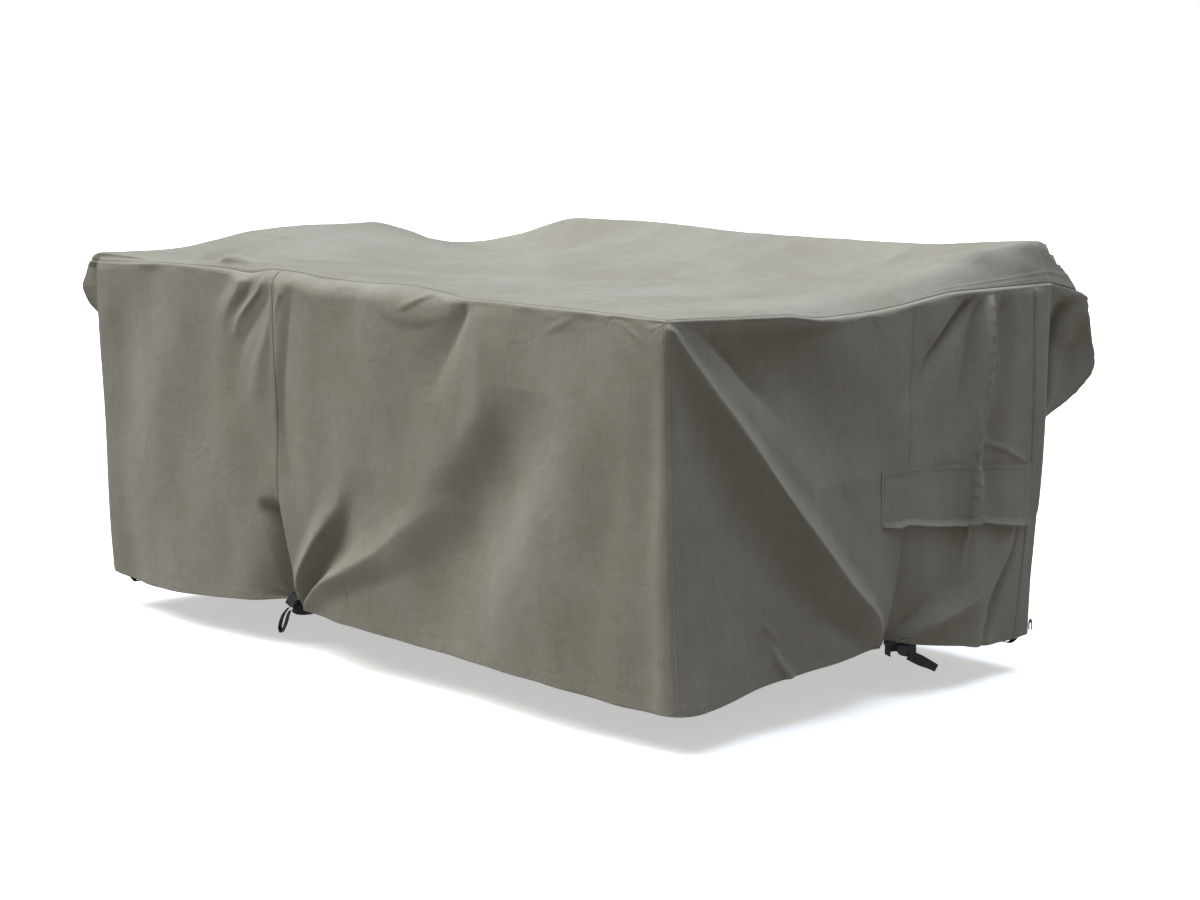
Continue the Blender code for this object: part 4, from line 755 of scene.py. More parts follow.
class Drape:
    """The surface that the whole cover hangs in, before its small forms."""

    @staticmethod
    def ground_plan(station: Array, radius: Array) -> tuple[Array, Array]:
        """Walk round the cover's rounded rectangle.

        Args:
            station: distances along the perimeter.
            radius: the corners' radius at each of them.

        Returns:
            Points of the plan and the directions out of it.
        """
        station = np.mod(station, PERIMETER)
        side = np.clip(np.searchsorted(CORNERS, station, side="right") - 1, 0, 3)
        length = np.take(SIDE_LENGTHS, side)
        reach = np.take(SIDE_LENGTHS, (side + 1) % 4) / 2
        local = station - np.take(CORNERS, side) - length / 2
        arc = radius * math.pi / 4
        straight = length / 2 - arc
        over = np.clip((np.abs(local) - straight) / arc, 0.0, 1.0)
        turn = np.sign(local) * over * math.pi / 4
        run = np.clip(local, -straight, straight) * (length / 2 - radius) / straight
        run = run + np.sign(local) * radius * np.sin(np.abs(turn))
        out = reach - radius + radius * np.cos(turn)
        heading = side * math.pi / 2
        cos_h, sin_h = np.cos(heading), np.sin(heading)
        plan = np.stack((run * cos_h + out * sin_h, run * sin_h - out * cos_h), -1)
        return plan, np.stack((np.sin(heading + turn), -np.cos(heading + turn)), -1)

    @staticmethod
    def relief(folds: dict[str, Fold], station: Array, depth: Array) -> Array:
        """Add up folds: how far they bring the cloth out of the plain wall, way by way."""
        return sum(fold.relief(station, depth) for fold in folds.values())

    @staticmethod
    def unevenness(station: Array, depth: Array) -> Array:
        """Low, broad waves that no cloth wall is without."""
        turn = 2 * math.pi / PERIMETER
        return UNEVENNESS * sum(np.sin(waves * turn * station + down * depth + phase)
                                for waves, down, phase in UNEVEN_WAVES)

    @staticmethod
    def tie_pull(station: Array, depth: Array) -> Array:
        """Return how far the ties draw the cloth in, most at the hem."""
        pull = np.zeros(np.broadcast(station, depth).shape)
        narrow, spread = TIE_SPREAD
        for place, drawn_in, before, after, up in TIE_PULLS.values():
            near_hem = np.clip((depth - DROP + up) / up, 0.0, 1.0) ** TIE_POWER
            offset = nearest_turn(station - place)
            reach = np.where(offset < 0, before, after) * (narrow + spread * near_hem)
            share = np.clip(np.abs(offset) / reach, 0.0, 1.0)
            pull += drawn_in * near_hem * (1 - share) ** 2
        return pull

    def wall(self, station: Array | float, share: Array | float) -> Array:
        """Return points of the hanging walls.

        Args:
            station: distances along the perimeter.
            share: depths, 0 at the top seam and 1 at the hem.

        Returns:
            The points, with x, y and z along the last axis.
        """
        station, share = np.broadcast_arrays(np.asarray(station, float), np.asarray(share, float))
        around = np.mod(station, PERIMETER)
        depth = share * DROP
        plan, outward = self.ground_plan(around, read(CORNER_PLAN, 1, around) * (1 - share)
                                         + read(CORNER_PLAN, 2, around) * share)
        drawn_in, top = read(TOP_SEAM, 1, around), read(TOP_SEAM, 2, around)
        hem = -DROP + read(HEM_RISE, 1, around)
        level = top + (hem - top) * share
        # The cloth rounds over the edge like a quarter circle as wide as it is drawn in.
        round_share = np.clip((top - level) / drawn_in, 0.0, 1.0)
        shoulder = -drawn_in * (1 - np.sqrt(1 - (1 - round_share) ** 2))

        relief = self.relief(FOLDS, around, depth)[..., 0] + self.unevenness(around, depth)
        offset = shoulder + relief * smooth_step(depth / SETTLE) - self.tie_pull(around, depth)
        plan = plan + outward * offset[..., None] + self.relief(EARS, around, depth)

        hang = share * share
        for place, _, _, *shift in CORNER_PLAN[:4]:
            near = smooth_step(1 - np.abs(nearest_turn(around - place)) / CORNER_REACH)
            plan = plan + (near * hang)[..., None] * np.array(shift)
        return np.concatenate((plan, (level + SEAM_LEVEL)[..., None]), -1)

    @staticmethod
    def top_height(x: Array, y: Array) -> Array:
        """Read the top panel's height between the places that carry it."""
        rows = np.stack([curve(TOP_STATIONS_X, heights, x.ravel()) for _, heights in TOP_HEIGHTS])
        return curve(column(TOP_HEIGHTS, 0), rows, y.ravel()).reshape(x.shape)

    def top(self, across: Array, along: Array) -> Array:
        """Return points of the top panel between the four runs of its seam.

        Args:
            across: shares of the length, from the left end to the near end.
            along: shares of the width, from the front to the back.

        Returns:
            A grid of points, across by along.
        """
        front = self.wall(across * LENGTH, 0.0)
        back = self.wall(BACK_LEFT_CORNER + across * (TOP_FAR_STATION - BACK_LEFT_CORNER), 0.0)
        left = self.wall(PERIMETER - along * WIDTH, 0.0)
        near = self.wall(NEAR_CORNER + along * (TOP_FAR_STATION - NEAR_CORNER), 0.0)
        u, v = across[:, None, None], along[None, :, None]
        points = (front[:, None] * (1 - v) + back[:, None] * v
                  + left[None] * (1 - u) + near[None] * u
                  - (front[0] * (1 - u) + front[-1] * u) * (1 - v)
                  - (back[0] * (1 - u) + back[-1] * u) * v)
        edge = np.minimum(np.minimum(u, 1 - u) * LENGTH, np.minimum(v, 1 - v) * WIDTH)
        from_far_corner = np.hypot((1 - u) * LENGTH, (1 - v) * WIDTH)[..., 0]
        keen = smooth_step(1 - from_far_corner / FAR_TOP_CORNER)
        share = np.clip(edge[..., 0] / (TOP_EDGE * (1 - FAR_TOP_KEEN * keen)), 0.0, 1.0)
        plateau = self.top_height(points[..., 0], points[..., 1]) + SEAM_LEVEL
        rounded = 1 - (1 - share) ** 2
        points[..., 2] += (plateau - points[..., 2]) * (rounded + (share - rounded) * keen)
        return points

    @staticmethod
    def line(name: str, share: Array | float) -> Array:
        """Return the stations of a panel line at shares of the drop."""
        return curve((0.0, 0.5, 1.0), PANEL_LINES[name], share)


@dataclass(frozen=True)
class WallCloth:
    """The hanging walls with their small forms."""

    drape: Drape

    @staticmethod
    def shared_relief(station: Array, depth: Array) -> Array:
        """Return the forms that run on across the panels' seams."""
        around = np.mod(station, PERIMETER)
        relief = sum(gather.relief(around, depth) for gather in GATHERS)
        relief = relief + sum(crease.relief(around, depth) for crease in WALL_CREASES)
        uneven = sum(height * patches(around, depth * stretch, pitch, seed)
                     for height, pitch, stretch, seed in WALL_PATCHES)
        return relief + uneven * smooth_step(np.abs(nearest_turn(around)) / PATCH_FADE)

    def small_relief(self, cut: WallCut, station: Array, share: Array) -> Array:
        """Return how far a panel's small forms stand out of the drape.

        Args:
            cut: the panel.
            station: distances along the perimeter.
            share: depths, 0 at the top seam and 1 at the hem.

        Returns:
            Heights along the cloth's normal.
        """
        depth = share * DROP
        from_left = np.maximum(station - self.drape.line(cut.left, share), 0.0)
        to_right = np.maximum(self.drape.line(cut.right, share) - station, 0.0)
        below_seam = smooth_step(depth / TOP_FADE)
        relief = self.shared_relief(station, depth) * below_seam
        relief = relief + cut.left_seam.form.relief(from_left, depth, cut.seed) * below_seam
        relief = relief + cut.right_seam.form.relief(to_right, depth, cut.seed + 3) * below_seam
        relief = relief + Seam.WALL_EDGE.form.relief(depth, station, cut.seed + 6)
        return relief + Seam.HEM.form.relief(DROP - depth, station, HEM_SEED)

    def frame_at(self, station: Array, share: Array, cut: WallCut | None = None
                 ) -> tuple[Array, Array]:
        """Return points of the cloth's middle surface and its outward normals.

        Args:
            station: distances along the perimeter.
            share: depths, 0 at the top seam and 1 at the hem.
            cut: the panel whose seams and hem count too.

        Returns:
            The points and the normals.
        """
        wall = self.drape.wall
        point = wall(station, share)
        inner = np.where(share > 0.5, -PROBE_SHARE, PROBE_SHARE)
        along = wall(station + PROBE, share) - wall(station - PROBE, share)
        down = (wall(station, share + inner) - point) * np.sign(inner)[..., None]
        normal = unit(np.cross(down, along))
        relief = (self.small_relief(cut, station, share) if cut
                  else self.shared_relief(station, share * DROP))
        return point + normal * relief[..., None], normal


def outside_wall(drape: Drape, station: Array | float, share: float, stand: float) -> Array:
    """Return points that stand a little way outside the walls.

    Args:
        drape: the cover's drape.
        station: distances along the perimeter.
        share: the depth, 0 at the top seam and 1 at the hem.
        stand: distance from the wall.

    Returns:
        The points.
    """
    point = drape.wall(station, share)
    along = drape.wall(station + WALL_STEP, share) - point
    down = point - drape.wall(station, share - WALL_STEP)
    return point + unit(np.cross(down, along)) * stand


# --- Making meshes ---

def put_in_scene(name: str, mesh_data: BMesh, material: Material, smooth: bool = True) -> Object:
    """Turn a bmesh into a named object and free it.

    Args:
        name: the object's name.
        mesh_data: its geometry, in the part's own frame.
        material: its finish.
        smooth: whether its faces are shaded smooth.

    Returns:
        The object, linked to the scene.
    """
    mesh = bpy.data.meshes.new(name)
    mesh_data.to_mesh(mesh)
    mesh_data.free()
    mesh.materials.append(material)
    if smooth:
        mesh.shade_smooth()
    item = bpy.data.objects.new(name, mesh)
    bpy.context.scene.collection.objects.link(item)
    return item


def stand_for(item: Object, node: str | None = None) -> None:
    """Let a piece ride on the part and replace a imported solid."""
    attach(item, "root")
    if node:
        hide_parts(node)


def grid_piece(name: str, points: Array, uv: Array, material: Material) -> tuple[Object, Array, Array]:
    """Make a piece on a grid of points.

    Args:
        name: the object's name.
        points: the grid's points.
        uv: their places in the flat cloth, in metres.
        material: its finish.

    Returns:
        The object, and each vertex's column and row in the grid.
    """
    columns, rows = points.shape[0] - 1, points.shape[1] - 1
    mesh_data = bmesh.new()
    bmesh.ops.create_grid(mesh_data, x_segments=columns, y_segments=rows, size=1.0)
    item = put_in_scene(name, mesh_data, material)
    mesh = item.data
    flat = np.empty(len(mesh.vertices) * 3)
    mesh.vertices.foreach_get("co", flat)
    i, j = np.rint((flat.reshape(-1, 3)[:, :2] + 1) / 2 * (columns, rows)).astype(int).T
    mesh.vertices.foreach_set("co", points[i, j].ravel())
    corner = np.empty(len(mesh.loops), int)
    mesh.loops.foreach_get("vertex_index", corner)
    layer = mesh.uv_layers.new(name=CLOTH_UV)
    layer.data.foreach_set("uv", uv[i[corner], j[corner]].ravel())
    mesh.update()
    return item, i, j


def grid_sheet(node: str, stuff: Stuff, points: Array, uv: Array, outward: Array,
               material: Material) -> Object:
    """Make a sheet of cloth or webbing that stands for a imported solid.

    Args:
        node: the solid.
        stuff: what it is cut from.
        points: a grid of its middle points.
        uv: their places in the flat cloth, in metres.
        outward: the directions out of the cloth's face.
        material: its finish.

    Returns:
        The sheet, thickened by a live modifier.
    """
    slot, thickness = stuff.value
    item, i, j = grid_piece(f"{node}_{slot}", points, uv, material)
    middle_face = item.data.polygons[len(item.data.polygons) // 2]
    vertex = middle_face.vertices[0]
    if Vector(outward[i[vertex], j[vertex]]).dot(middle_face.normal) < 0:
        item.data.flip_normals()
    wall = item.modifiers.new("thickness", "SOLIDIFY")
    wall.thickness = thickness
    wall.offset = 0.0
    wall.use_rim = True
    stand_for(item, node)
    return item


def tube(name: str, path: Array, reference: Array, radii: tuple[float, float], sides: int,
         material: Material, closed: bool = False) -> Object:
    """Sweep an oval section along a path, down to a point at each open end.

    Args:
        name: the object's name.
        path: the section's centres.
        reference: a direction for each centre, never along the path.
        radii: of the section, across the reference and along it.
        sides: corners of the section.
        material: its finish.
        closed: whether the path comes back to its start.

    Returns:
        The tube.
    """
    if closed:
        path = np.concatenate((path, path[:1]))
        reference = np.concatenate((reference, reference[:1]))
        forward = np.gradient(np.concatenate((path[-2:-1], path, path[1:2])), axis=0)[1:-1]
    else:
        forward = np.gradient(path, axis=0)
    side = unit(np.cross(forward, reference))
    up = unit(np.cross(side, forward))
    wide, high = (np.full(len(path), radius) for radius in radii)
    if not closed:
        wide[[0, -1]] = high[[0, -1]] = 0.0
    angle = np.linspace(0.0, 2 * math.pi, sides + 1)
    points = (path[:, None] + side[:, None] * (wide[:, None] * np.cos(angle))[..., None]
              + up[:, None] * (high[:, None] * np.sin(angle))[..., None])
    uv = np.stack(np.broadcast_arrays(distances(path)[:, None], (angle * wide.max())[None]), -1)
    item = grid_piece(name, points, uv, material)[0]
    mesh_data = bmesh.new()
    mesh_data.from_mesh(item.data)
    bmesh.ops.remove_doubles(mesh_data, verts=mesh_data.verts[:], dist=WELD)
    bmesh.ops.recalc_face_normals(mesh_data, faces=mesh_data.faces[:])
    mesh_data.to_mesh(item.data)
    mesh_data.free()
    return item


def surface_normals(points: Array) -> Array:
    """Return unit normals of a grid of points."""
    return unit(np.cross(np.gradient(points, axis=0), np.gradient(points, axis=1)))


# --- Panels and their sewing ---

@dataclass
class Sewing:
    """The rows of stitches in one piece of cloth, joined as one piece."""

    name: str
    finish: Material
    rows: list[Object] = field(default_factory=list)

    def add(self, points: Array, normals: Array) -> None:
        """Sew a row of stitches.

        Args:
            points: the row's run in the cloth's middle surface.
            normals: the directions out of the cloth's face.
        """
        run = distances(points)
        count = int(run[-1] // STITCH)
        starts = np.arange(count)[:, None] + np.array(column(STITCH_RUN, 0))
        places = np.append(starts.ravel(), count) * STITCH
        height = np.append(np.tile(column(STITCH_RUN, 1), count), STITCH_RUN[0][1])
        path, up = (np.stack([np.interp(places, run, values[:, axis]) for axis in range(3)], -1)
                    for values in (points, normals))
        path = path + up * (FABRIC / 2 + height)[:, None]
        self.rows.append(tube(f"row_{len(self.rows)}", path, up, (THREAD, THREAD), THREAD_SIDES,
                              self.finish))

    def build(self) -> Object:
        """Join the rows as one piece and return it."""
        mesh_data = bmesh.new()
        for row in self.rows:
            mesh_data.from_mesh(row.data)
            bpy.data.objects.remove(row, do_unlink=True)
        item = put_in_scene(self.name, mesh_data, self.finish)
        stand_for(item)
        return item


@dataclass
class WallPanel:
    """One hanging panel, from the top seam to its turned-up hem."""

    cut: WallCut
    cloth: WallCloth
    finish: Material

    def grid(self) -> tuple[Array, Array]:
        """Return the stations and the depths, as shares, of the panel's mesh."""
        line, cut = self.cloth.drape.line, self.cut
        shares = graded(DROP, cut.pitch, ROW_ZONES)
        width = float(line(cut.right, 0.5) - line(cut.left, 0.5))
        zone, fine = SEAM_ZONE
        zones = (*cut.finer, (0.0, zone, fine), (width - zone, width, fine))
        across = graded(width, cut.pitch, zones)[:, None]
        left, right = line(cut.left, shares), line(cut.right, shares)
        return left + (right - left) * across, np.broadcast_to(shares, (len(across), len(shares)))

    def build(self) -> Object:
        """Make the panel's sheet."""
        stations, shares = self.grid()
        points, normals = self.cloth.frame_at(stations, shares, self.cut)
        uv = np.stack((stations, 1.0 - shares * DROP), -1)
        item = grid_sheet(self.cut.node, Stuff.CLOTH, points, uv, normals, self.finish)
        width = float(np.ptp(stations[:, 0]))
        return item

    def sew(self, finish: Material) -> Object:
        """Sew the panel's seams and its hem."""
        line, cut = self.cloth.drape.line, self.cut
        sewing = Sewing(f"{cut.node}_stitches", finish)
        shares = np.linspace(SEAM_END, DROP - SEAM_END, SEAM_POINTS) / DROP
        for seam, name, way in ((cut.left_seam, cut.left, 1.0), (cut.right_seam, cut.right, -1.0)):
            for away in seam.form.rows:
                sewing.add(*self.cloth.frame_at(line(name, shares) + way * away, shares, cut))
        hem = 1.0 - Seam.HEM.form.rows[0] / DROP
        stations = np.arange(float(line(cut.left, hem)) + SEAM_END,
                             float(line(cut.right, hem)) - SEAM_END, STITCH / 3)
        sewing.add(*self.cloth.frame_at(stations, np.full_like(stations, hem), cut))
        return sewing.build()


@dataclass
class TopPanel:
    """The top panel, which lies on what carries the cover."""

    cloth: WallCloth
    finish: Material
    node: str = "top_panel"

    def build(self) -> Object:
        """Make the panel's sheet."""
        (zone, fine), (inner, medium) = SEAM_ZONE, TOP_EDGE_ZONE
        across, along = (graded(size, TOP_PITCH, (
            (0.0, zone, fine), (zone, inner, medium),
            (size - inner, size - zone, medium), (size - zone, size, fine)))
            for size in (LENGTH, WIDTH))
        points, normals, places = self.surface(across, along)
        item = grid_sheet(self.node, Stuff.CLOTH, points, places, normals, self.finish)
        return item

    def surface(self, across: Array, along: Array) -> tuple[Array, Array, Array]:
        """Return the panel's middle surface.

        Args:
            across: shares of the length.
            along: shares of the width.

        Returns:
            Points, normals, and distances from the left end's and the front's seams.
        """
        points = self.cloth.drape.top(across, along)
        normals = surface_normals(points)
        x, y = np.broadcast_arrays(across[:, None] * LENGTH, along[None] * WIDTH)
        relief = self.relief(x, y, points)[..., None]
        return points + normals * relief, normals, np.stack((x, y), -1)

    def sew(self, finish: Material) -> Object:
        """Sew the row of stitches inside the panel's edge."""
        sewing = Sewing(f"{self.node}_stitches", finish)
        away = Seam.TOP_EDGE.form.rows[0]
        for length, width, turned in ((LENGTH, WIDTH, False), (WIDTH, LENGTH, True)):
            run = np.arange(2 * away, length - 2 * away, STITCH / 3) / length
            for middle in (away / width, 1 - away / width):
                near = middle + np.array((-PROBE, 0.0, PROBE)) / width
                points, normals, _ = self.surface(*((near, run) if turned else (run, near)))
                sewing.add(*((points[1], normals[1]) if turned else (points[:, 1], normals[:, 1])))
        return sewing.build()

    @staticmethod
    def relief(x: Array, y: Array, points: Array) -> Array:
        """Return the height of the top's small forms over its plain drape.

        Args:
            x: distances from the left end's seam.
            y: distances from the front seam.
            points: the drape's points there.

        Returns:
            Heights along the normal.
        """
        form = Seam.TOP_EDGE.form
        edge = np.full(x.shape, -1.0)
        for away, along, seed in ((y, x, 71), (WIDTH - y, x, 74), (x, y, 77), (LENGTH - x, y, 80)):
            height = form.relief(away, along, seed)
            edge = np.maximum(edge, np.where(away < form.band + DRAW_REACH * 2, height, -1.0))
        nearest = np.minimum(np.minimum(x, LENGTH - x), np.minimum(y, WIDTH - y))
        uneven = sum(height * patches(x, y, pitch, seed) for height, pitch, seed in TOP_PATCHES)
        lines = sum(crease.relief(points[..., 0], points[..., 1]) for crease in TOP_CREASES)
        return np.where(edge > -1.0, edge, 0.0) + (uneven + lines) * smooth_step(nearest / PATCH_FADE)


@dataclass
class VentFlap:
    """The flap sewn along its head over the air vent of the near end wall."""

    cloth: WallCloth
    finish: Material
    node: str = "vent_flap"
    head_stand: float = 0.0018
    hem_stand: float = 0.0036
    flare: float = 0.0075  # how far its hem turns out
    flare_run: float = 0.016
    end_hold: float = 0.050  # run in which its ends come down to the wall
    end_share: float = 0.15  # what is left of its stand there
    pitch: float = 0.0040
    head_zone: tuple[float, float] = (0.015, 0.0010)  # width and spacing of its finer mesh
    hem_zone: tuple[float, float] = (0.018, 0.0012)
    seed: int = 201

    def __post_init__(self) -> None:
        """Work out the flap's middle surface."""
        first, last = FLAP[0][0], FLAP[-1][0]
        self.width = last - first
        self.height = float(np.mean(column(FLAP, 2)) - np.mean(column(FLAP, 1)))
        across = graded(self.width, self.pitch, ((0.0, *SEAM_ZONE),))[:, None]
        zone, fine = self.hem_zone
        self.down = graded(self.height, self.pitch, (
            (0.0, *self.head_zone), (self.height - zone, self.height, fine)))
        stations = first + across * self.width + 0.0 * self.down
        head, foot = read(FLAP, 1, stations), read(FLAP, 2, stations)
        depth = head + (foot - head) * self.down
        points, normals = self.cloth.frame_at(stations, depth / DROP)
        # Cloth hangs straight down from the furthest that the wall stands out above.
        points[..., 0] = np.maximum.accumulate(points[..., 0], axis=1)
        from_end = np.minimum(stations - first, last - stations)
        held = self.end_share + (1 - self.end_share) * smooth_step(from_end / self.end_hold)
        fallen = smooth_step(self.down)
        turned_out = smooth_step((self.down * self.height - self.height + self.flare_run)
                                 / self.flare_run)
        stand = (self.head_stand * (1 - fallen)
                 + held * (self.hem_stand * fallen + self.flare * turned_out))
        hem = Seam.FLAP_HEM.form
        relief = (Seam.FLAP_HEAD.form.relief(self.down * self.height, stations, self.seed)
                  + hem.relief((1 - self.down) * self.height, stations, self.seed + 3)
                  + hem.relief(stations - first, depth, self.seed + 6))
        self.points = points + normals * (stand + relief)[..., None]
        self.normals = -surface_normals(self.points)
        self.uv = np.stack((stations, 1.0 - depth), -1)

    def build(self) -> Object:
        """Make the flap's sheet."""
        item = grid_sheet(self.node, Stuff.CLOTH, self.points, self.uv, self.normals, self.finish)
        return item

    def sew(self, finish: Material) -> Object:
        """Sew the flap's head to the wall, and its hem and its free end."""
        sewing = Sewing(f"{self.node}_stitches", finish)
        head, (hem,) = Seam.FLAP_HEAD.form.rows, Seam.FLAP_HEM.form.rows
        for place in (*head, self.height - hem):
            row = int(np.argmin(np.abs(self.down * self.height - place)))
            sewing.add(self.points[:, row], self.normals[:, row])
        free_end = int(np.argmin(np.abs(self.uv[:, 0, 0] - self.uv[0, 0, 0] - hem)))
        sewing.add(self.points[free_end], self.normals[free_end])
        return sewing.build()


# --- Webbing, knot and plastic pieces ---

def level_facing(yaw: float) -> Array:
    """Return the level direction that faces out of a tie turned by a yaw."""
    return np.array((math.sin(yaw), -math.cos(yaw), 0.0))


class TieFrame:
    """A place on the hem from which a tie's webbing is laid out."""

    def __init__(self, drape: Drape, station: float, yaw: float) -> None:
        """Stand at the hem.

        Args:
            drape: the cover's drape.
            station: the place along the perimeter.
            yaw: how far the along axis is turned from +X.
        """
        self.origin = drape.wall(station, 1.0)
        self.along = np.array((math.cos(yaw), math.sin(yaw), 0.0))
        self.out = level_facing(yaw)
        self.up = np.array((0.0, 0.0, 1.0))

    def point(self, along: Array | float, out: Array | float, up: Array | float) -> Array:
        """Return points at places of the tie's own frame."""
        along, out, up = (np.asarray(value, float)[..., None] for value in (along, out, up))
        return self.origin + along * self.along + out * self.out + up * self.up

    def matrix(self, place: Triple, tilt: float = 0.0) -> Matrix:
        """Return a matrix that puts a hard piece at a place, tilted in its face."""
        axes = Matrix((self.along, -self.out, self.up)).transposed().to_4x4()
        return Matrix.Translation(Vector(self.point(*place))) @ axes @ Matrix.Rotation(tilt, 4, "Y")


def smooth_run(rows: Table, count: int) -> tuple[Array, ...]:
    """Read a table of places as a smooth run.

    Args:
        rows: places, with further columns after the third.
        count: how many points to read, evenly spaced.

    Returns:
        Distances along the run, then each column's values there.
    """
    length = distances(np.array(rows)[:, :3])
    where = np.linspace(0.0, length[-1], count)
    return (where, *(curve(length, column(rows, axis), where) for axis in range(len(rows[0]))))


@dataclass
class Strap:
    """A strip of flat webbing along a run of its tie."""

    node: str
    tie: TieFrame
    held: str
    rows: Table
    width_axis: Array
    cells: int = 90
    cells_across: int = 8
    camber: float = 0.0004  # of its middle over its edges

    def build(self, finish: Material) -> Object:
        """Make the strip."""
        where, along, out, up, width = smooth_run(self.rows, self.cells + 1)
        middle = self.tie.point(along, out, up)
        forward = unit(np.gradient(middle, axis=0))
        across = unit(self.width_axis - forward * (forward @ self.width_axis)[:, None])
        normal = np.cross(forward, across)
        share = np.linspace(-1.0, 1.0, self.cells_across + 1)
        points = (middle[:, None] + across[:, None] * (width[:, None] / 2 * share)[..., None]
                  + normal[:, None] * (self.camber * (1 - share ** 2))[None, :, None])
        uv = np.stack(np.broadcast_arrays(where[:, None], width[:, None] / 2 * share), -1)
        item = grid_sheet(self.node, Stuff.WEBBING, points, uv,
                          np.repeat(normal[:, None], len(share), axis=1), finish)
        length = float(where[-1])
        wall = "front_panel_right" if "front" in self.node else "end_panel_near"
        min(float(np.mean(width)), WEBBING_WIDTH) * length
        return item


@dataclass
class CornerStrap:
    """A bight of webbing that shows under the hem at a corner."""

    node: str
    first: float
    last: float
    drape: Drape
    dip: float = 0.009
    inset: float = 0.0026
    width: float = 0.012
    cells: int = 32
    cells_across: int = 6

    def build(self, finish: Material) -> Object:
        """Make the bight."""
        stations = np.linspace(self.first, self.last, self.cells + 1)
        outer, inner = (outside_wall(self.drape, stations, 1.0, -self.inset - depth)
                        for depth in (0.0, self.width))
        outer[:, 2] -= np.sin(np.linspace(0.0, math.pi, self.cells + 1)) * self.dip
        inner[:, 2] = outer[:, 2]
        share = np.linspace(0.0, 1.0, self.cells_across + 1)
        points = outer[:, None] * (1 - share[:, None]) + inner[:, None] * share[:, None]
        run = distances(outer)
        uv = np.stack(np.broadcast_arrays(run[:, None], share[None] * self.width), -1)
        item = grid_sheet(self.node, Stuff.WEBBING, points, uv, surface_normals(points), finish)
        wall = "back_panel" if "right" in self.node else "front_panel_left"
        return item


@dataclass
class EndKnot:
    """The pulled-tight overhand knot of the end tie, and the drawcord's bight in it."""

    tie: TieFrame
    node: str = "end_strap_knot"
    size: Triple = (0.034, 0.012, 0.013)
    place: Triple = (0.017, 0.015, 0.0)
    strand: tuple[float, float] = (0.0034, 0.0023)
    strand_sides: int = 12
    points: int = 120
    cord_diameter: float = 0.0014
    cord_sides: int = 10
    cord_points: int = 61

    def build(self, finish: Material) -> Object:
        """Make the knot, a closed trefoil."""
        turn = np.linspace(0.0, 2 * math.pi, self.points, endpoint=False)
        long, deep, high = (extent / 2 - self.strand[0] for extent in self.size)
        path = self.tie.point((np.sin(turn) + 2 * np.sin(2 * turn)) / 3 * long + self.place[0],
                              -np.sin(3 * turn) * deep + self.place[1],
                              (np.cos(turn) - 2 * np.cos(2 * turn)) / 3 * high + self.place[2])
        item = tube(f"{self.node}_webbing", path, np.tile(self.tie.out, (len(path), 1)),
                    self.strand, self.strand_sides, finish, closed=True)
        stand_for(item, self.node)
        return item

    def build_cord(self, finish: Material) -> Object:
        """Make the thin bight that looks out of the knot and goes back into it."""
        path = self.tie.point(*smooth_run(DRAWCORD_BIGHT, self.cord_points)[1:])
        radius = self.cord_diameter / 2
        item = tube("drawcord_bight", path, np.tile(self.tie.out, (len(path), 1)),
                    (radius, radius), self.cord_sides, finish)
        stand_for(item)
        tuple(path[0])
        float(distances(path)[-1])
        [tuple(point) for point in path]
        return item


def moulded(node: str, mesh_data: BMesh, finish: Material) -> Object:
    """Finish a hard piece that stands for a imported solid."""
    bmesh.ops.recalc_face_normals(mesh_data, faces=mesh_data.faces[:])
    item = put_in_scene(f"{node}_moulded", mesh_data, finish)
    item.data.set_sharp_from_angle(angle=SHARP_ANGLE)
    stand_for(item, node)
    return item


@dataclass
class FrontBuckle:
    """The moulded buckle of the front tie."""

    tie: TieFrame
    node: str = "front_buckle"
    size: Triple = (0.021, 0.010, 0.034)
    place: Triple = (0.002, 0.037, 0.003)
    tilt: float = math.radians(36.0)
    edge: float = 0.0026
    recess: float = 0.0012
    rib: float = 0.0011  # radius of the ribs in the recess
    rib_rows: tuple[float, ...] = (-1.5, -0.5, 0.5, 1.5)
    rib_pitch: float = 4.4  # in ribs' radii
    rib_sides: int = 12
    rib_short: float = 2.5  # by which the ribs are shorter than the block, in edges' radii

    def build(self, finish: Material) -> Object:
        """Make the buckle: a rounded block with a ribbed recess in its face."""
        mesh_data = bmesh.new()
        bmesh.ops.create_cube(mesh_data, size=1.0, matrix=Matrix.Diagonal((*self.size, 1.0)))
        bmesh.ops.bevel(mesh_data, geom=mesh_data.edges[:], offset=self.edge, segments=BEVEL_STEPS,
                        profile=0.5, affect="EDGES", material=-1)
        faces = [max(mesh_data.faces, key=lambda face: face.calc_area() * way * face.normal.y)
                 for way in (-1.0, 1.0)]
        for thickness, depth in ((self.edge / 2, 0.0), (self.recess / 2, -self.recess)):
            bmesh.ops.inset_individual(mesh_data, faces=faces, thickness=thickness, depth=depth,
                                       use_even_offset=True)
        for way in (-1.0, 1.0):
            for row in self.rib_rows:
                place = Vector((0.0, way * (self.size[1] / 2 - self.recess),
                                row * self.rib * self.rib_pitch))
                bmesh.ops.create_cone(
                    mesh_data, cap_ends=True, segments=self.rib_sides, radius1=self.rib, radius2=self.rib,
                    depth=self.size[0] - self.rib_short * self.edge,
                    matrix=Matrix.Translation(place) @ Matrix.Rotation(math.pi / 2, 4, "Y"))
        bmesh.ops.transform(mesh_data, matrix=self.tie.matrix(self.place, self.tilt),
                            verts=mesh_data.verts[:])
        return moulded(self.node, mesh_data, finish)


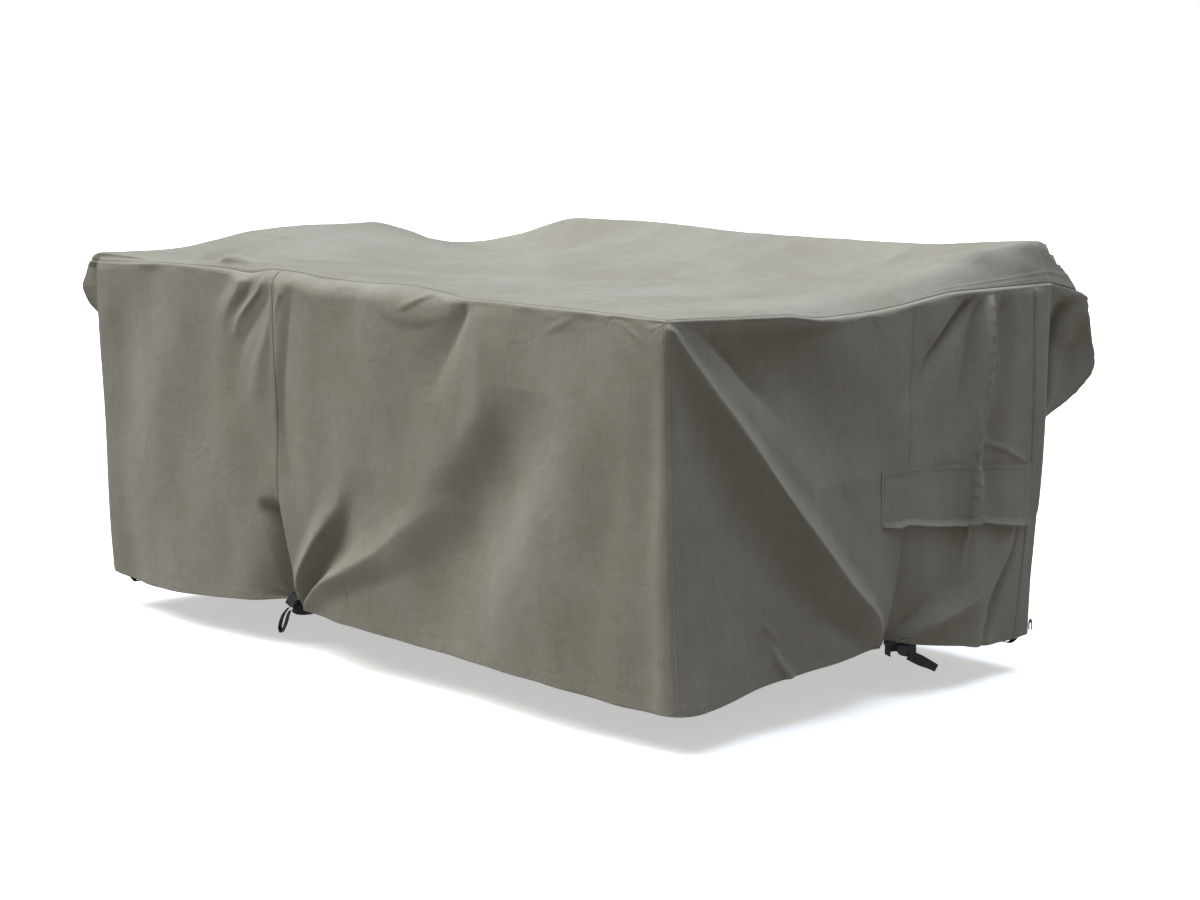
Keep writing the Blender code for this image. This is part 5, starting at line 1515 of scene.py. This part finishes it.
@dataclass
class CornerClip:
    """The two-pronged half of a buckle that hangs at the far corner."""

    drape: Drape
    node: str = "corner_clip"
    columns: tuple[float, ...] = (-0.0046, -0.0016, 0.0016, 0.0046)
    levels: Triple = (-0.013, 0.004, 0.013)
    top: float = 0.55  # width of its top, as a share
    thickness: float = 0.0045
    edge: float = 0.0011
    keen: float = math.radians(20.0)
    station: float = FAR_CORNER - 0.006
    share: float = 0.972
    stand: float = 0.0066
    turn: float = math.radians(45.0)

    def build(self, finish: Material) -> Object:
        """Make the clip, its prongs pointing down."""
        mesh_data = bmesh.new()
        bmesh.ops.create_grid(mesh_data, x_segments=3, y_segments=2, size=1.0)
        for vert in mesh_data.verts:
            row = round(vert.co.y + 1)
            across = self.columns[round((vert.co.x + 1) * 1.5)] * (self.top if row == 2 else 1.0)
            vert.co = (across, -self.thickness / 2, self.levels[row])
        middles = {face: face.calc_center_median() for face in mesh_data.faces}
        between = [face for face, middle in middles.items()
                   if abs(middle.x) < self.columns[2] / 2 and middle.z < 0]
        bmesh.ops.delete(mesh_data, geom=between, context="FACES")
        result = bmesh.ops.extrude_face_region(mesh_data, geom=mesh_data.faces[:],
                                               use_keep_orig=True)
        moved = [item for item in result["geom"] if isinstance(item, BMVert)]
        bmesh.ops.translate(mesh_data, verts=moved, vec=(0.0, self.thickness, 0.0))
        bmesh.ops.recalc_face_normals(mesh_data, faces=mesh_data.faces[:])
        edges = [edge for edge in mesh_data.edges if edge.calc_face_angle(0.0) > self.keen]
        bmesh.ops.bevel(mesh_data, geom=edges, offset=self.edge, segments=BEVEL_STEPS,
                        profile=0.5, affect="EDGES", material=-1)
        place = outside_wall(self.drape, self.station, self.share, self.stand)
        bmesh.ops.transform(
            mesh_data, verts=mesh_data.verts[:],
            matrix=Matrix.Translation(Vector(place)) @ Matrix.Rotation(self.turn, 4, "Z"))
        return moulded(self.node, mesh_data, finish)


# --- Finishes ---

class Nodes:
    """Builds one node tree, a material's or a group's."""

    def __init__(self, tree: NodeTree) -> None:
        """Keep the tree that the nodes go into."""
        self.tree = tree

    def fill(self, node: Node, **inputs: object) -> Node:
        """Link a node's inputs or set their own values.

        Args:
            node: the node.
            **inputs: sockets to link or values to set, by the inputs' names,
                with spaces written as underscores, or by i and a number.

        Returns:
            The same node.
        """
        for name, value in inputs.items():
            socket = node.inputs[int(name[1:]) if name[1:].isdigit() else name.replace("_", " ")]
            if isinstance(value, NodeSocket):
                self.tree.links.new(value, socket)
            else:
                socket.default_value = value
        return node

    def add(self, kind: str, **inputs: object) -> Node:
        """Add a node of a kind and fill its inputs."""
        return self.fill(self.tree.nodes.new(f"ShaderNode{kind}"), **inputs)

    def group(self, tree: NodeTree, **inputs: object) -> Node:
        """Place a node group and fill its inputs."""
        node = self.add("Group")
        node.node_tree = tree
        return self.fill(node, **inputs)

    def math(self, operation: str, *values: object) -> NodeSocket:
        """Add a Math node over sockets or numbers and return its output."""
        node = self.add("Math", **{f"i{i}": value for i, value in enumerate(values)})
        node.operation = operation
        return node.outputs[0]

    def weighted(self, *terms: tuple[object, object]) -> NodeSocket:
        """Add up two values, each times its weight."""
        return self.math("ADD", *(self.math("MULTIPLY", *term) for term in terms))

    def mix(self, share: object, first: object, second: object, blend: str = "MIX") -> NodeSocket:
        """Mix two colours by a share and return the colour."""
        node = self.add("Mix")
        node.data_type = "RGBA"
        node.blend_type = blend
        return self.fill(node, i0=share, i6=first, i7=second).outputs[2]

    def ranged(self, value: object, low: float, high: float,
               out_low: float = 0.0, out_high: float = 1.0) -> NodeSocket:
        """Map a value smoothly from one range to another."""
        node = self.add("MapRange", Value=value, From_Min=low, From_Max=high,
                        To_Min=out_low, To_Max=out_high)
        node.interpolation_type = "SMOOTHSTEP"
        return node.outputs[0]

    def noise(self, place: NodeSocket, scale: float, detail: float,
              roughness: float = 0.5, distortion: float = 0.0) -> NodeSocket:
        """Add clouds of noise over places and return their height."""
        return self.add("TexNoise", Vector=place, Scale=scale, Detail=detail,
                        Roughness=roughness, Distortion=distortion).outputs[0]


def new_group(name: str, inputs: dict[str, str], outputs: Iterable[str]
              ) -> tuple[NodeTree, Nodes, Node, Node]:
    """Start a shader node group.

    Args:
        name: the group's name.
        inputs: the kind of each input, Vector or Float.
        outputs: the names of its outputs, all of them numbers.

    Returns:
        The group, its builder, its input node and its output node.
    """
    group = bpy.data.node_groups.new(name, "ShaderNodeTree")
    for in_out, sockets in (("INPUT", inputs), ("OUTPUT", dict.fromkeys(outputs, "Float"))):
        for socket, kind in sockets.items():
            group.interface.new_socket(socket, in_out=in_out, socket_type=f"NodeSocket{kind}")
    return (group, Nodes(group), group.nodes.new("NodeGroupInput"),
            group.nodes.new("NodeGroupOutput"))


def new_material(name: str) -> tuple[Material, Nodes, Node]:
    """Start a material, and return it, its builder and its main shader."""
    material = bpy.data.materials.new(name)
    material.use_nodes = True
    return material, Nodes(material.node_tree), material.node_tree.nodes["Principled BSDF"]


@dataclass(frozen=True)
class Weave:
    """Threads that pass over and under each other, in a coarser grid, with slubs; its Shade is painted
    shade in the hollows between threads, darker grid lines and random slub tone.
    """

    line_width: float = 0.11  # of the grid's lines, as a share of its pitch
    slub_scale: tuple[float, float] = (230.0, 9.0)  # for each metre across and along
    thread_height: float = 0.8
    line_height: float = 0.5
    hollow_painted_shade: float = 0.90  # colour in the hollows between the threads, where shade is painted
    # painted shade: how much lighter the colour is over the threads' crests than in their hollows
    thread_painted_shade: float = 0.16
    line_shade: float = 0.07
    slub_shade: float = 0.22

    def build(self) -> NodeTree:
        """Make the node group."""
        group, nodes, given, result = new_group(
            "over_and_under_weave", {"Place": "Vector", "Threads": "Float", "Grid": "Float"},
            ("Height", "Shade"))
        place = nodes.add("SeparateXYZ", Vector=given.outputs["Place"]).outputs
        profiles, cells, lines = [], [], []
        for axis in (0, 1):
            turn = nodes.math("MULTIPLY", place[axis], given.outputs["Threads"])
            cells.append(nodes.math("FLOOR", turn))
            profiles.append(nodes.math("ABSOLUTE", nodes.math(
                "SINE", nodes.math("MULTIPLY", turn, math.pi))))
            step = nodes.math("MULTIPLY", place[axis], given.outputs["Grid"])
            lines.append(nodes.ranged(nodes.math("PINGPONG", step, 0.5),
                                      0.0, self.line_width, 1.0, 0.0))
        over = nodes.math("MODULO", nodes.math("ABSOLUTE", nodes.math("ADD", *cells)), 2.0)
        under = nodes.math("SUBTRACT", 1.0, over)
        height = nodes.weighted((over, profiles[0]), (under, profiles[1]))
        line = nodes.math("MAXIMUM", *lines)
        slub_place = nodes.add("CombineXYZ", X=nodes.math("MULTIPLY", place[0], self.slub_scale[0]),
                               Y=nodes.math("MULTIPLY", place[1], self.slub_scale[1])).outputs[0]
        slub = nodes.math("MULTIPLY_ADD", nodes.noise(slub_place, 1.0, 1.0),
                          self.slub_shade, -self.slub_shade / 2)
        even = nodes.math(
            "SUBTRACT", nodes.math("MULTIPLY_ADD", height, self.thread_painted_shade, self.hollow_painted_shade),
            nodes.math("MULTIPLY", line, self.line_shade))
        nodes.fill(result, Shade=nodes.math("ADD", even, slub), Height=nodes.weighted(
            (height, self.thread_height), (line, self.line_height)))
        return group


@dataclass(frozen=True)
class Weathering:
    """Clouds of tone, soft crumples, and dust low on the walls.

    A cloud is its scale, its detail, its roughness and its distortion.
    """

    broad_cloud: tuple[float, ...] = (3.1, 3.0, 0.5)
    fine_cloud: tuple[float, ...] = (26.0, 4.0, 0.6)
    small_crumple: tuple[float, ...] = (62.0, 3.0, 0.55, 0.6)
    wide_crumple: tuple[float, ...] = (17.0, 2.0, 0.5, 1.4)
    speck: tuple[float, ...] = (95.0, 5.0, 0.7)
    main_share: float = 0.65  # of the broad clouds and the wide crumples
    dust_reach: float = 0.16  # above the hem
    dust_range: tuple[float, float] = (0.42, 0.72)

    def build(self) -> NodeTree:
        """Make the node group."""
        group, nodes, given, result = new_group(
            "weathering", {"Place": "Vector", "Hem Level": "Float"}, ("Tone", "Crumple", "Dust"))
        place = given.outputs["Place"]
        broad, fine, small, wide, speck = (nodes.noise(place, *cloud) for cloud in (
            self.broad_cloud, self.fine_cloud, self.small_crumple, self.wide_crumple, self.speck))
        height = nodes.add("SeparateXYZ", Vector=place).outputs[2]
        above = nodes.math("SUBTRACT", height, given.outputs["Hem Level"])
        near_hem = nodes.ranged(above, 0.0, self.dust_reach, 1.0, 0.0)
        main, rest = self.main_share, 1 - self.main_share
        nodes.fill(result, Tone=nodes.weighted((broad, main), (fine, rest)),
                   Crumple=nodes.weighted((small, rest), (wide, main)),
                   Dust=nodes.math("MULTIPLY", near_hem, nodes.ranged(speck, *self.dust_range)))
        return group


@dataclass(frozen=True)
class WovenFinish:
    """A woven material: coated polyester, webbing or sewing thread."""

    name: str
    dark: Triple  # colour of its darker clouds
    light: Triple  # colour of its lighter clouds
    dust: Triple  # colour of what settles on it
    threads: float  # for each metre
    grid: float  # coarser threads for each metre
    weave_depth: float  # height of the threads
    crumple_depth: float  # height of its soft crumples
    roughness: float
    sheen: float  # which low light gives it
    sheen_roughness: float = 0.45
    specular: float = 0.35
    tone_range: tuple[float, float] = (0.34, 0.66)
    dust_share: float = 0.35
    tone_roughness: float = 0.10  # what its clouds change in the roughness
    dust_roughness: float = 0.06

    def build(self, weave: NodeTree, weathering: NodeTree) -> Material:
        """Make the material.

        Args:
            weave: the group for threads.
            weathering: the group for tone, crumples and dust.

        Returns:
            The material.
        """
        material, nodes, shader = new_material(self.name)
        uv = nodes.add("UVMap")
        uv.uv_map = CLOTH_UV
        threads = nodes.group(weave, Place=uv.outputs[0], Threads=self.threads,
                              Grid=self.grid).outputs
        wear = nodes.group(weathering, Place=nodes.add("TexCoord").outputs["Object"],
                           Hem_Level=-DROP).outputs
        tone = nodes.ranged(wear["Tone"], *self.tone_range)
        colour = nodes.mix(tone, (*self.dark, 1.0), (*self.light, 1.0))
        # The weave's Shade multiplies the colour: painted shade in the hollows between the threads, with
        # darker grid lines and random slub tone.
        shade = nodes.add("CombineColor", **dict.fromkeys(("Red", "Green", "Blue"), threads["Shade"]))
        shaded = nodes.mix(1.0, colour, shade.outputs[0], "MULTIPLY")
        dusty = nodes.math("MULTIPLY", wear["Dust"], self.dust_share)
        rough = nodes.math("MULTIPLY_ADD", tone, self.tone_roughness,
                           self.roughness - self.tone_roughness / 2)
        dull = nodes.math("MULTIPLY", wear["Dust"], self.dust_roughness)
        crumple = nodes.add("Bump", Strength=1.0, Distance=self.crumple_depth,
                            Height=wear["Crumple"])
        bump = nodes.add("Bump", Strength=1.0, Distance=self.weave_depth,
                         Height=threads["Height"], Normal=crumple.outputs[0])
        nodes.fill(shader, Base_Color=nodes.mix(dusty, shaded, (*self.dust, 1.0)),
                   Roughness=nodes.math("ADD", rough, dull), Normal=bump.outputs[0],
                   Sheen_Weight=self.sheen, Sheen_Roughness=self.sheen_roughness,
                   Specular_IOR_Level=self.specular)
        return material


@dataclass(frozen=True)
class PlasticFinish:
    """Moulded plastic with a fine grain and rubbed edges."""

    name: str
    colour: Triple
    rubbed: Triple
    roughness: float
    roughness_range: float = 0.16
    grain: tuple[float, float] = (1500.0, 2.0)  # scale and detail
    grain_depth: float = 0.00004
    rub: tuple[float, float] = (160.0, 4.0)
    rub_range: tuple[float, float] = (0.40, 0.65)
    edge_range: tuple[float, float] = (0.50, 0.58)

    def build(self) -> Material:
        """Make the material."""
        material, nodes, shader = new_material(self.name)
        where = nodes.add("TexCoord").outputs["Object"]
        rub = nodes.noise(where, *self.rub)
        edge = nodes.ranged(nodes.add("NewGeometry").outputs["Pointiness"], *self.edge_range)
        worn = nodes.math("MULTIPLY", edge, nodes.ranged(rub, *self.rub_range))
        bump = nodes.add("Bump", Strength=1.0, Distance=self.grain_depth,
                         Height=nodes.noise(where, *self.grain))
        nodes.fill(shader, Base_Color=nodes.mix(worn, (*self.colour, 1.0), (*self.rubbed, 1.0)),
                   Roughness=nodes.math("MULTIPLY_ADD", rub, self.roughness_range,
                                        self.roughness - self.roughness_range / 2),
                   Normal=bump.outputs[0])
        return material


# --- Setting ---

@dataclass(frozen=True)
class Viewpoint:
    """The camera, where the photograph was taken from."""

    place: Triple = (4.7724, -4.0907, 0.4797)
    focal_share: float = 2626 / 1200  # focal length as a share of the frame's width
    yaw: float = math.radians(48.21)  # 0 looks along +Y
    pitch: float = math.radians(8.20)  # downwards
    roll: float = math.radians(-0.19)
    sensor: float = 36.0  # width in millimetres

    def build(self) -> None:
        """Make the camera and make it the scene's."""
        lens = bpy.data.cameras.new("camera")
        lens.sensor_width = self.sensor
        lens.lens = self.focal_share * self.sensor
        camera = bpy.data.objects.new("camera", lens)
        forward = Vector((-math.sin(self.yaw) * math.cos(self.pitch),
                          math.cos(self.yaw) * math.cos(self.pitch), -math.sin(self.pitch)))
        right = Vector((math.cos(self.yaw), math.sin(self.yaw), 0.0))
        up = right.cross(forward)
        tilted = right * math.cos(self.roll) + up * math.sin(self.roll)
        upright = up * math.cos(self.roll) - right * math.sin(self.roll)
        camera.matrix_world = Matrix((tilted, upright, -forward)).transposed().to_4x4()
        camera.location = self.place
        bpy.context.scene.collection.objects.link(camera)
        bpy.context.scene.camera = camera


@dataclass(frozen=True)
class SoftSun:
    """One distant soft light, which falls evenly on the cover and on the whole floor."""

    name: str
    towards: Triple  # the light
    spread: float  # in degrees
    strength: float
    colour: Triple

    def build(self) -> None:
        """Make the light, turned so that it shines from its side."""
        light = bpy.data.lights.new(self.name, "SUN")
        light.angle = math.radians(self.spread)
        light.energy = self.strength
        light.color = self.colour
        item = bpy.data.objects.new(self.name, light)
        item.rotation_euler = (-Vector(self.towards)).to_track_quat("-Z", "Y").to_euler()
        bpy.context.scene.collection.objects.link(item)


@dataclass(frozen=True)
class Studio:
    """Pale floor without end, soft lights and a pale surround."""

    suns: tuple[SoftSun, ...] = (
        SoftSun("key", (-0.36, -0.41, 0.84), 42.0, 3.05, (1.0, 0.965, 0.905)),
        SoftSun("overhead", (0.0, 0.0, 1.0), 60.0, 3.95, (0.71, 0.83, 1.0)),
    )
    floor_level: float = -0.883
    half_size: float = 400.0
    floor_colour: Triple = (0.90, 0.90, 0.90)
    floor_roughness: float = 0.9
    floor_specular: float = 0.2
    floor_glow: float = 0.50
    surround: Triple = (1.0, 0.96, 0.90)
    surround_light: float = 0.26
    surround_shown: float = 1.0

    def build(self) -> None:
        """Make the floor, the lights and the surround."""
        floor, nodes, shader = new_material("pale_floor")
        nodes.fill(shader, Base_Color=(*self.floor_colour, 1.0), Roughness=self.floor_roughness,
                   Specular_IOR_Level=self.floor_specular, Emission_Color=(1.0, 1.0, 1.0, 1.0),
                   Emission_Strength=self.floor_glow)
        mesh_data = bmesh.new()
        bmesh.ops.create_grid(mesh_data, x_segments=2, y_segments=2, size=self.half_size,
                              matrix=Matrix.Translation((0.0, 0.0, self.floor_level)))
        ground = put_in_scene("floor", mesh_data, floor, smooth=False)
        ground.visible_diffuse = False
        for sun in self.suns:
            sun.build()
        self.build_surround()
        bpy.context.scene.view_settings.view_transform = "Standard"

    def build_surround(self) -> None:
        """Make the surround, which is paler to the eye than the light that it gives."""
        world = bpy.data.worlds.new("surround")
        world.use_nodes = True
        nodes = Nodes(world.node_tree)
        seen = nodes.add("LightPath").outputs["Is Camera Ray"]
        nodes.fill(world.node_tree.nodes["Background"],
                   Color=nodes.mix(seen, (*self.surround, 1.0), (1.0, 1.0, 1.0, 1.0)),
                   Strength=nodes.math("MULTIPLY_ADD", seen,
                                       self.surround_shown - self.surround_light,
                                       self.surround_light))
        bpy.context.scene.world = world


CLOTH_FINISH = WovenFinish("coated_polyester", dark=(0.208, 0.190, 0.148),
                           light=(0.252, 0.238, 0.199), dust=(0.34, 0.32, 0.27),
                           threads=900.0, grid=210.0, weave_depth=0.00022,
                           crumple_depth=0.0022, roughness=0.80, sheen=0.12)
# The thread's colours are darker than the cloth's as painted shade: the real thread is near the cloth's
# colour and looks darker only from its dent and its shadow.
THREAD_FINISH_WITH_PAINTED_SHADE = WovenFinish("sewing_thread_painted_shade", dark=(0.150, 0.137, 0.110),
                            light=(0.190, 0.175, 0.145), dust=(0.34, 0.32, 0.27),
                            threads=1800.0, grid=900.0, weave_depth=0.0001,
                            crumple_depth=0.0001, roughness=0.70, sheen=0.05)
WEBBING_FINISH = WovenFinish("black_webbing", dark=(0.0045, 0.0045, 0.0048),
                             light=(0.010, 0.010, 0.0105), dust=(0.03, 0.029, 0.027),
                             threads=620.0, grid=120.0, weave_depth=0.00045,
                             crumple_depth=0.0004, roughness=0.72, sheen=0.02)
PLASTIC_FINISH = PlasticFinish("moulded_plastic", colour=(0.007, 0.0075, 0.009),
                               rubbed=(0.024, 0.026, 0.030), roughness=0.66)


def save_sizes() -> None:
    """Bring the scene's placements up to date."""
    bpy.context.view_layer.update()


def main() -> None:
    """Build the cover's looks in order."""
    logging.basicConfig(level=logging.INFO, format="%(message)s")
    Viewpoint().build()
    groups = Weave().build(), Weathering().build()
    cloth_finish, webbing = CLOTH_FINISH.build(*groups), WEBBING_FINISH.build(*groups)
    plastic, thread = PLASTIC_FINISH.build(), THREAD_FINISH_WITH_PAINTED_SHADE.build(*groups)
    drape = Drape()
    cloth = WallCloth(drape)
    sewn = [TopPanel(cloth, cloth_finish), *(WallPanel(cut, cloth, cloth_finish)
                                             for cut in WALL_CUTS), VentFlap(cloth, cloth_finish)]
    pieces = [piece.build() for piece in sewn]
    pieces += [piece.sew(thread) for piece in sewn]
    ties = {name: TieFrame(drape, TIE_PULLS[name][0], yaw) for name, yaw in TIE_YAWS.items()}
    straps = [Strap(node, ties[tie], held, metres(rows),
                    level_facing(STRAP_LOOP_YAW) if "loop" in node else ties[tie].up)
              for node, tie, held, rows in STRAPS]
    straps += [CornerStrap(*row, drape) for row in CORNER_STRAPS]
    pieces += [strap.build(webbing) for strap in straps]
    knot = EndKnot(ties["end_tie"])
    pieces += [knot.build(webbing), knot.build_cord(webbing)]
    pieces += [FrontBuckle(ties["front_tie"]).build(plastic), CornerClip(drape).build(plastic)]
    for piece in pieces:
        LOG.info("%s: %d points", piece.name, len(piece.data.vertices))
    Studio().build()
    save_sizes()


if __name__ == "__main__":
    main()
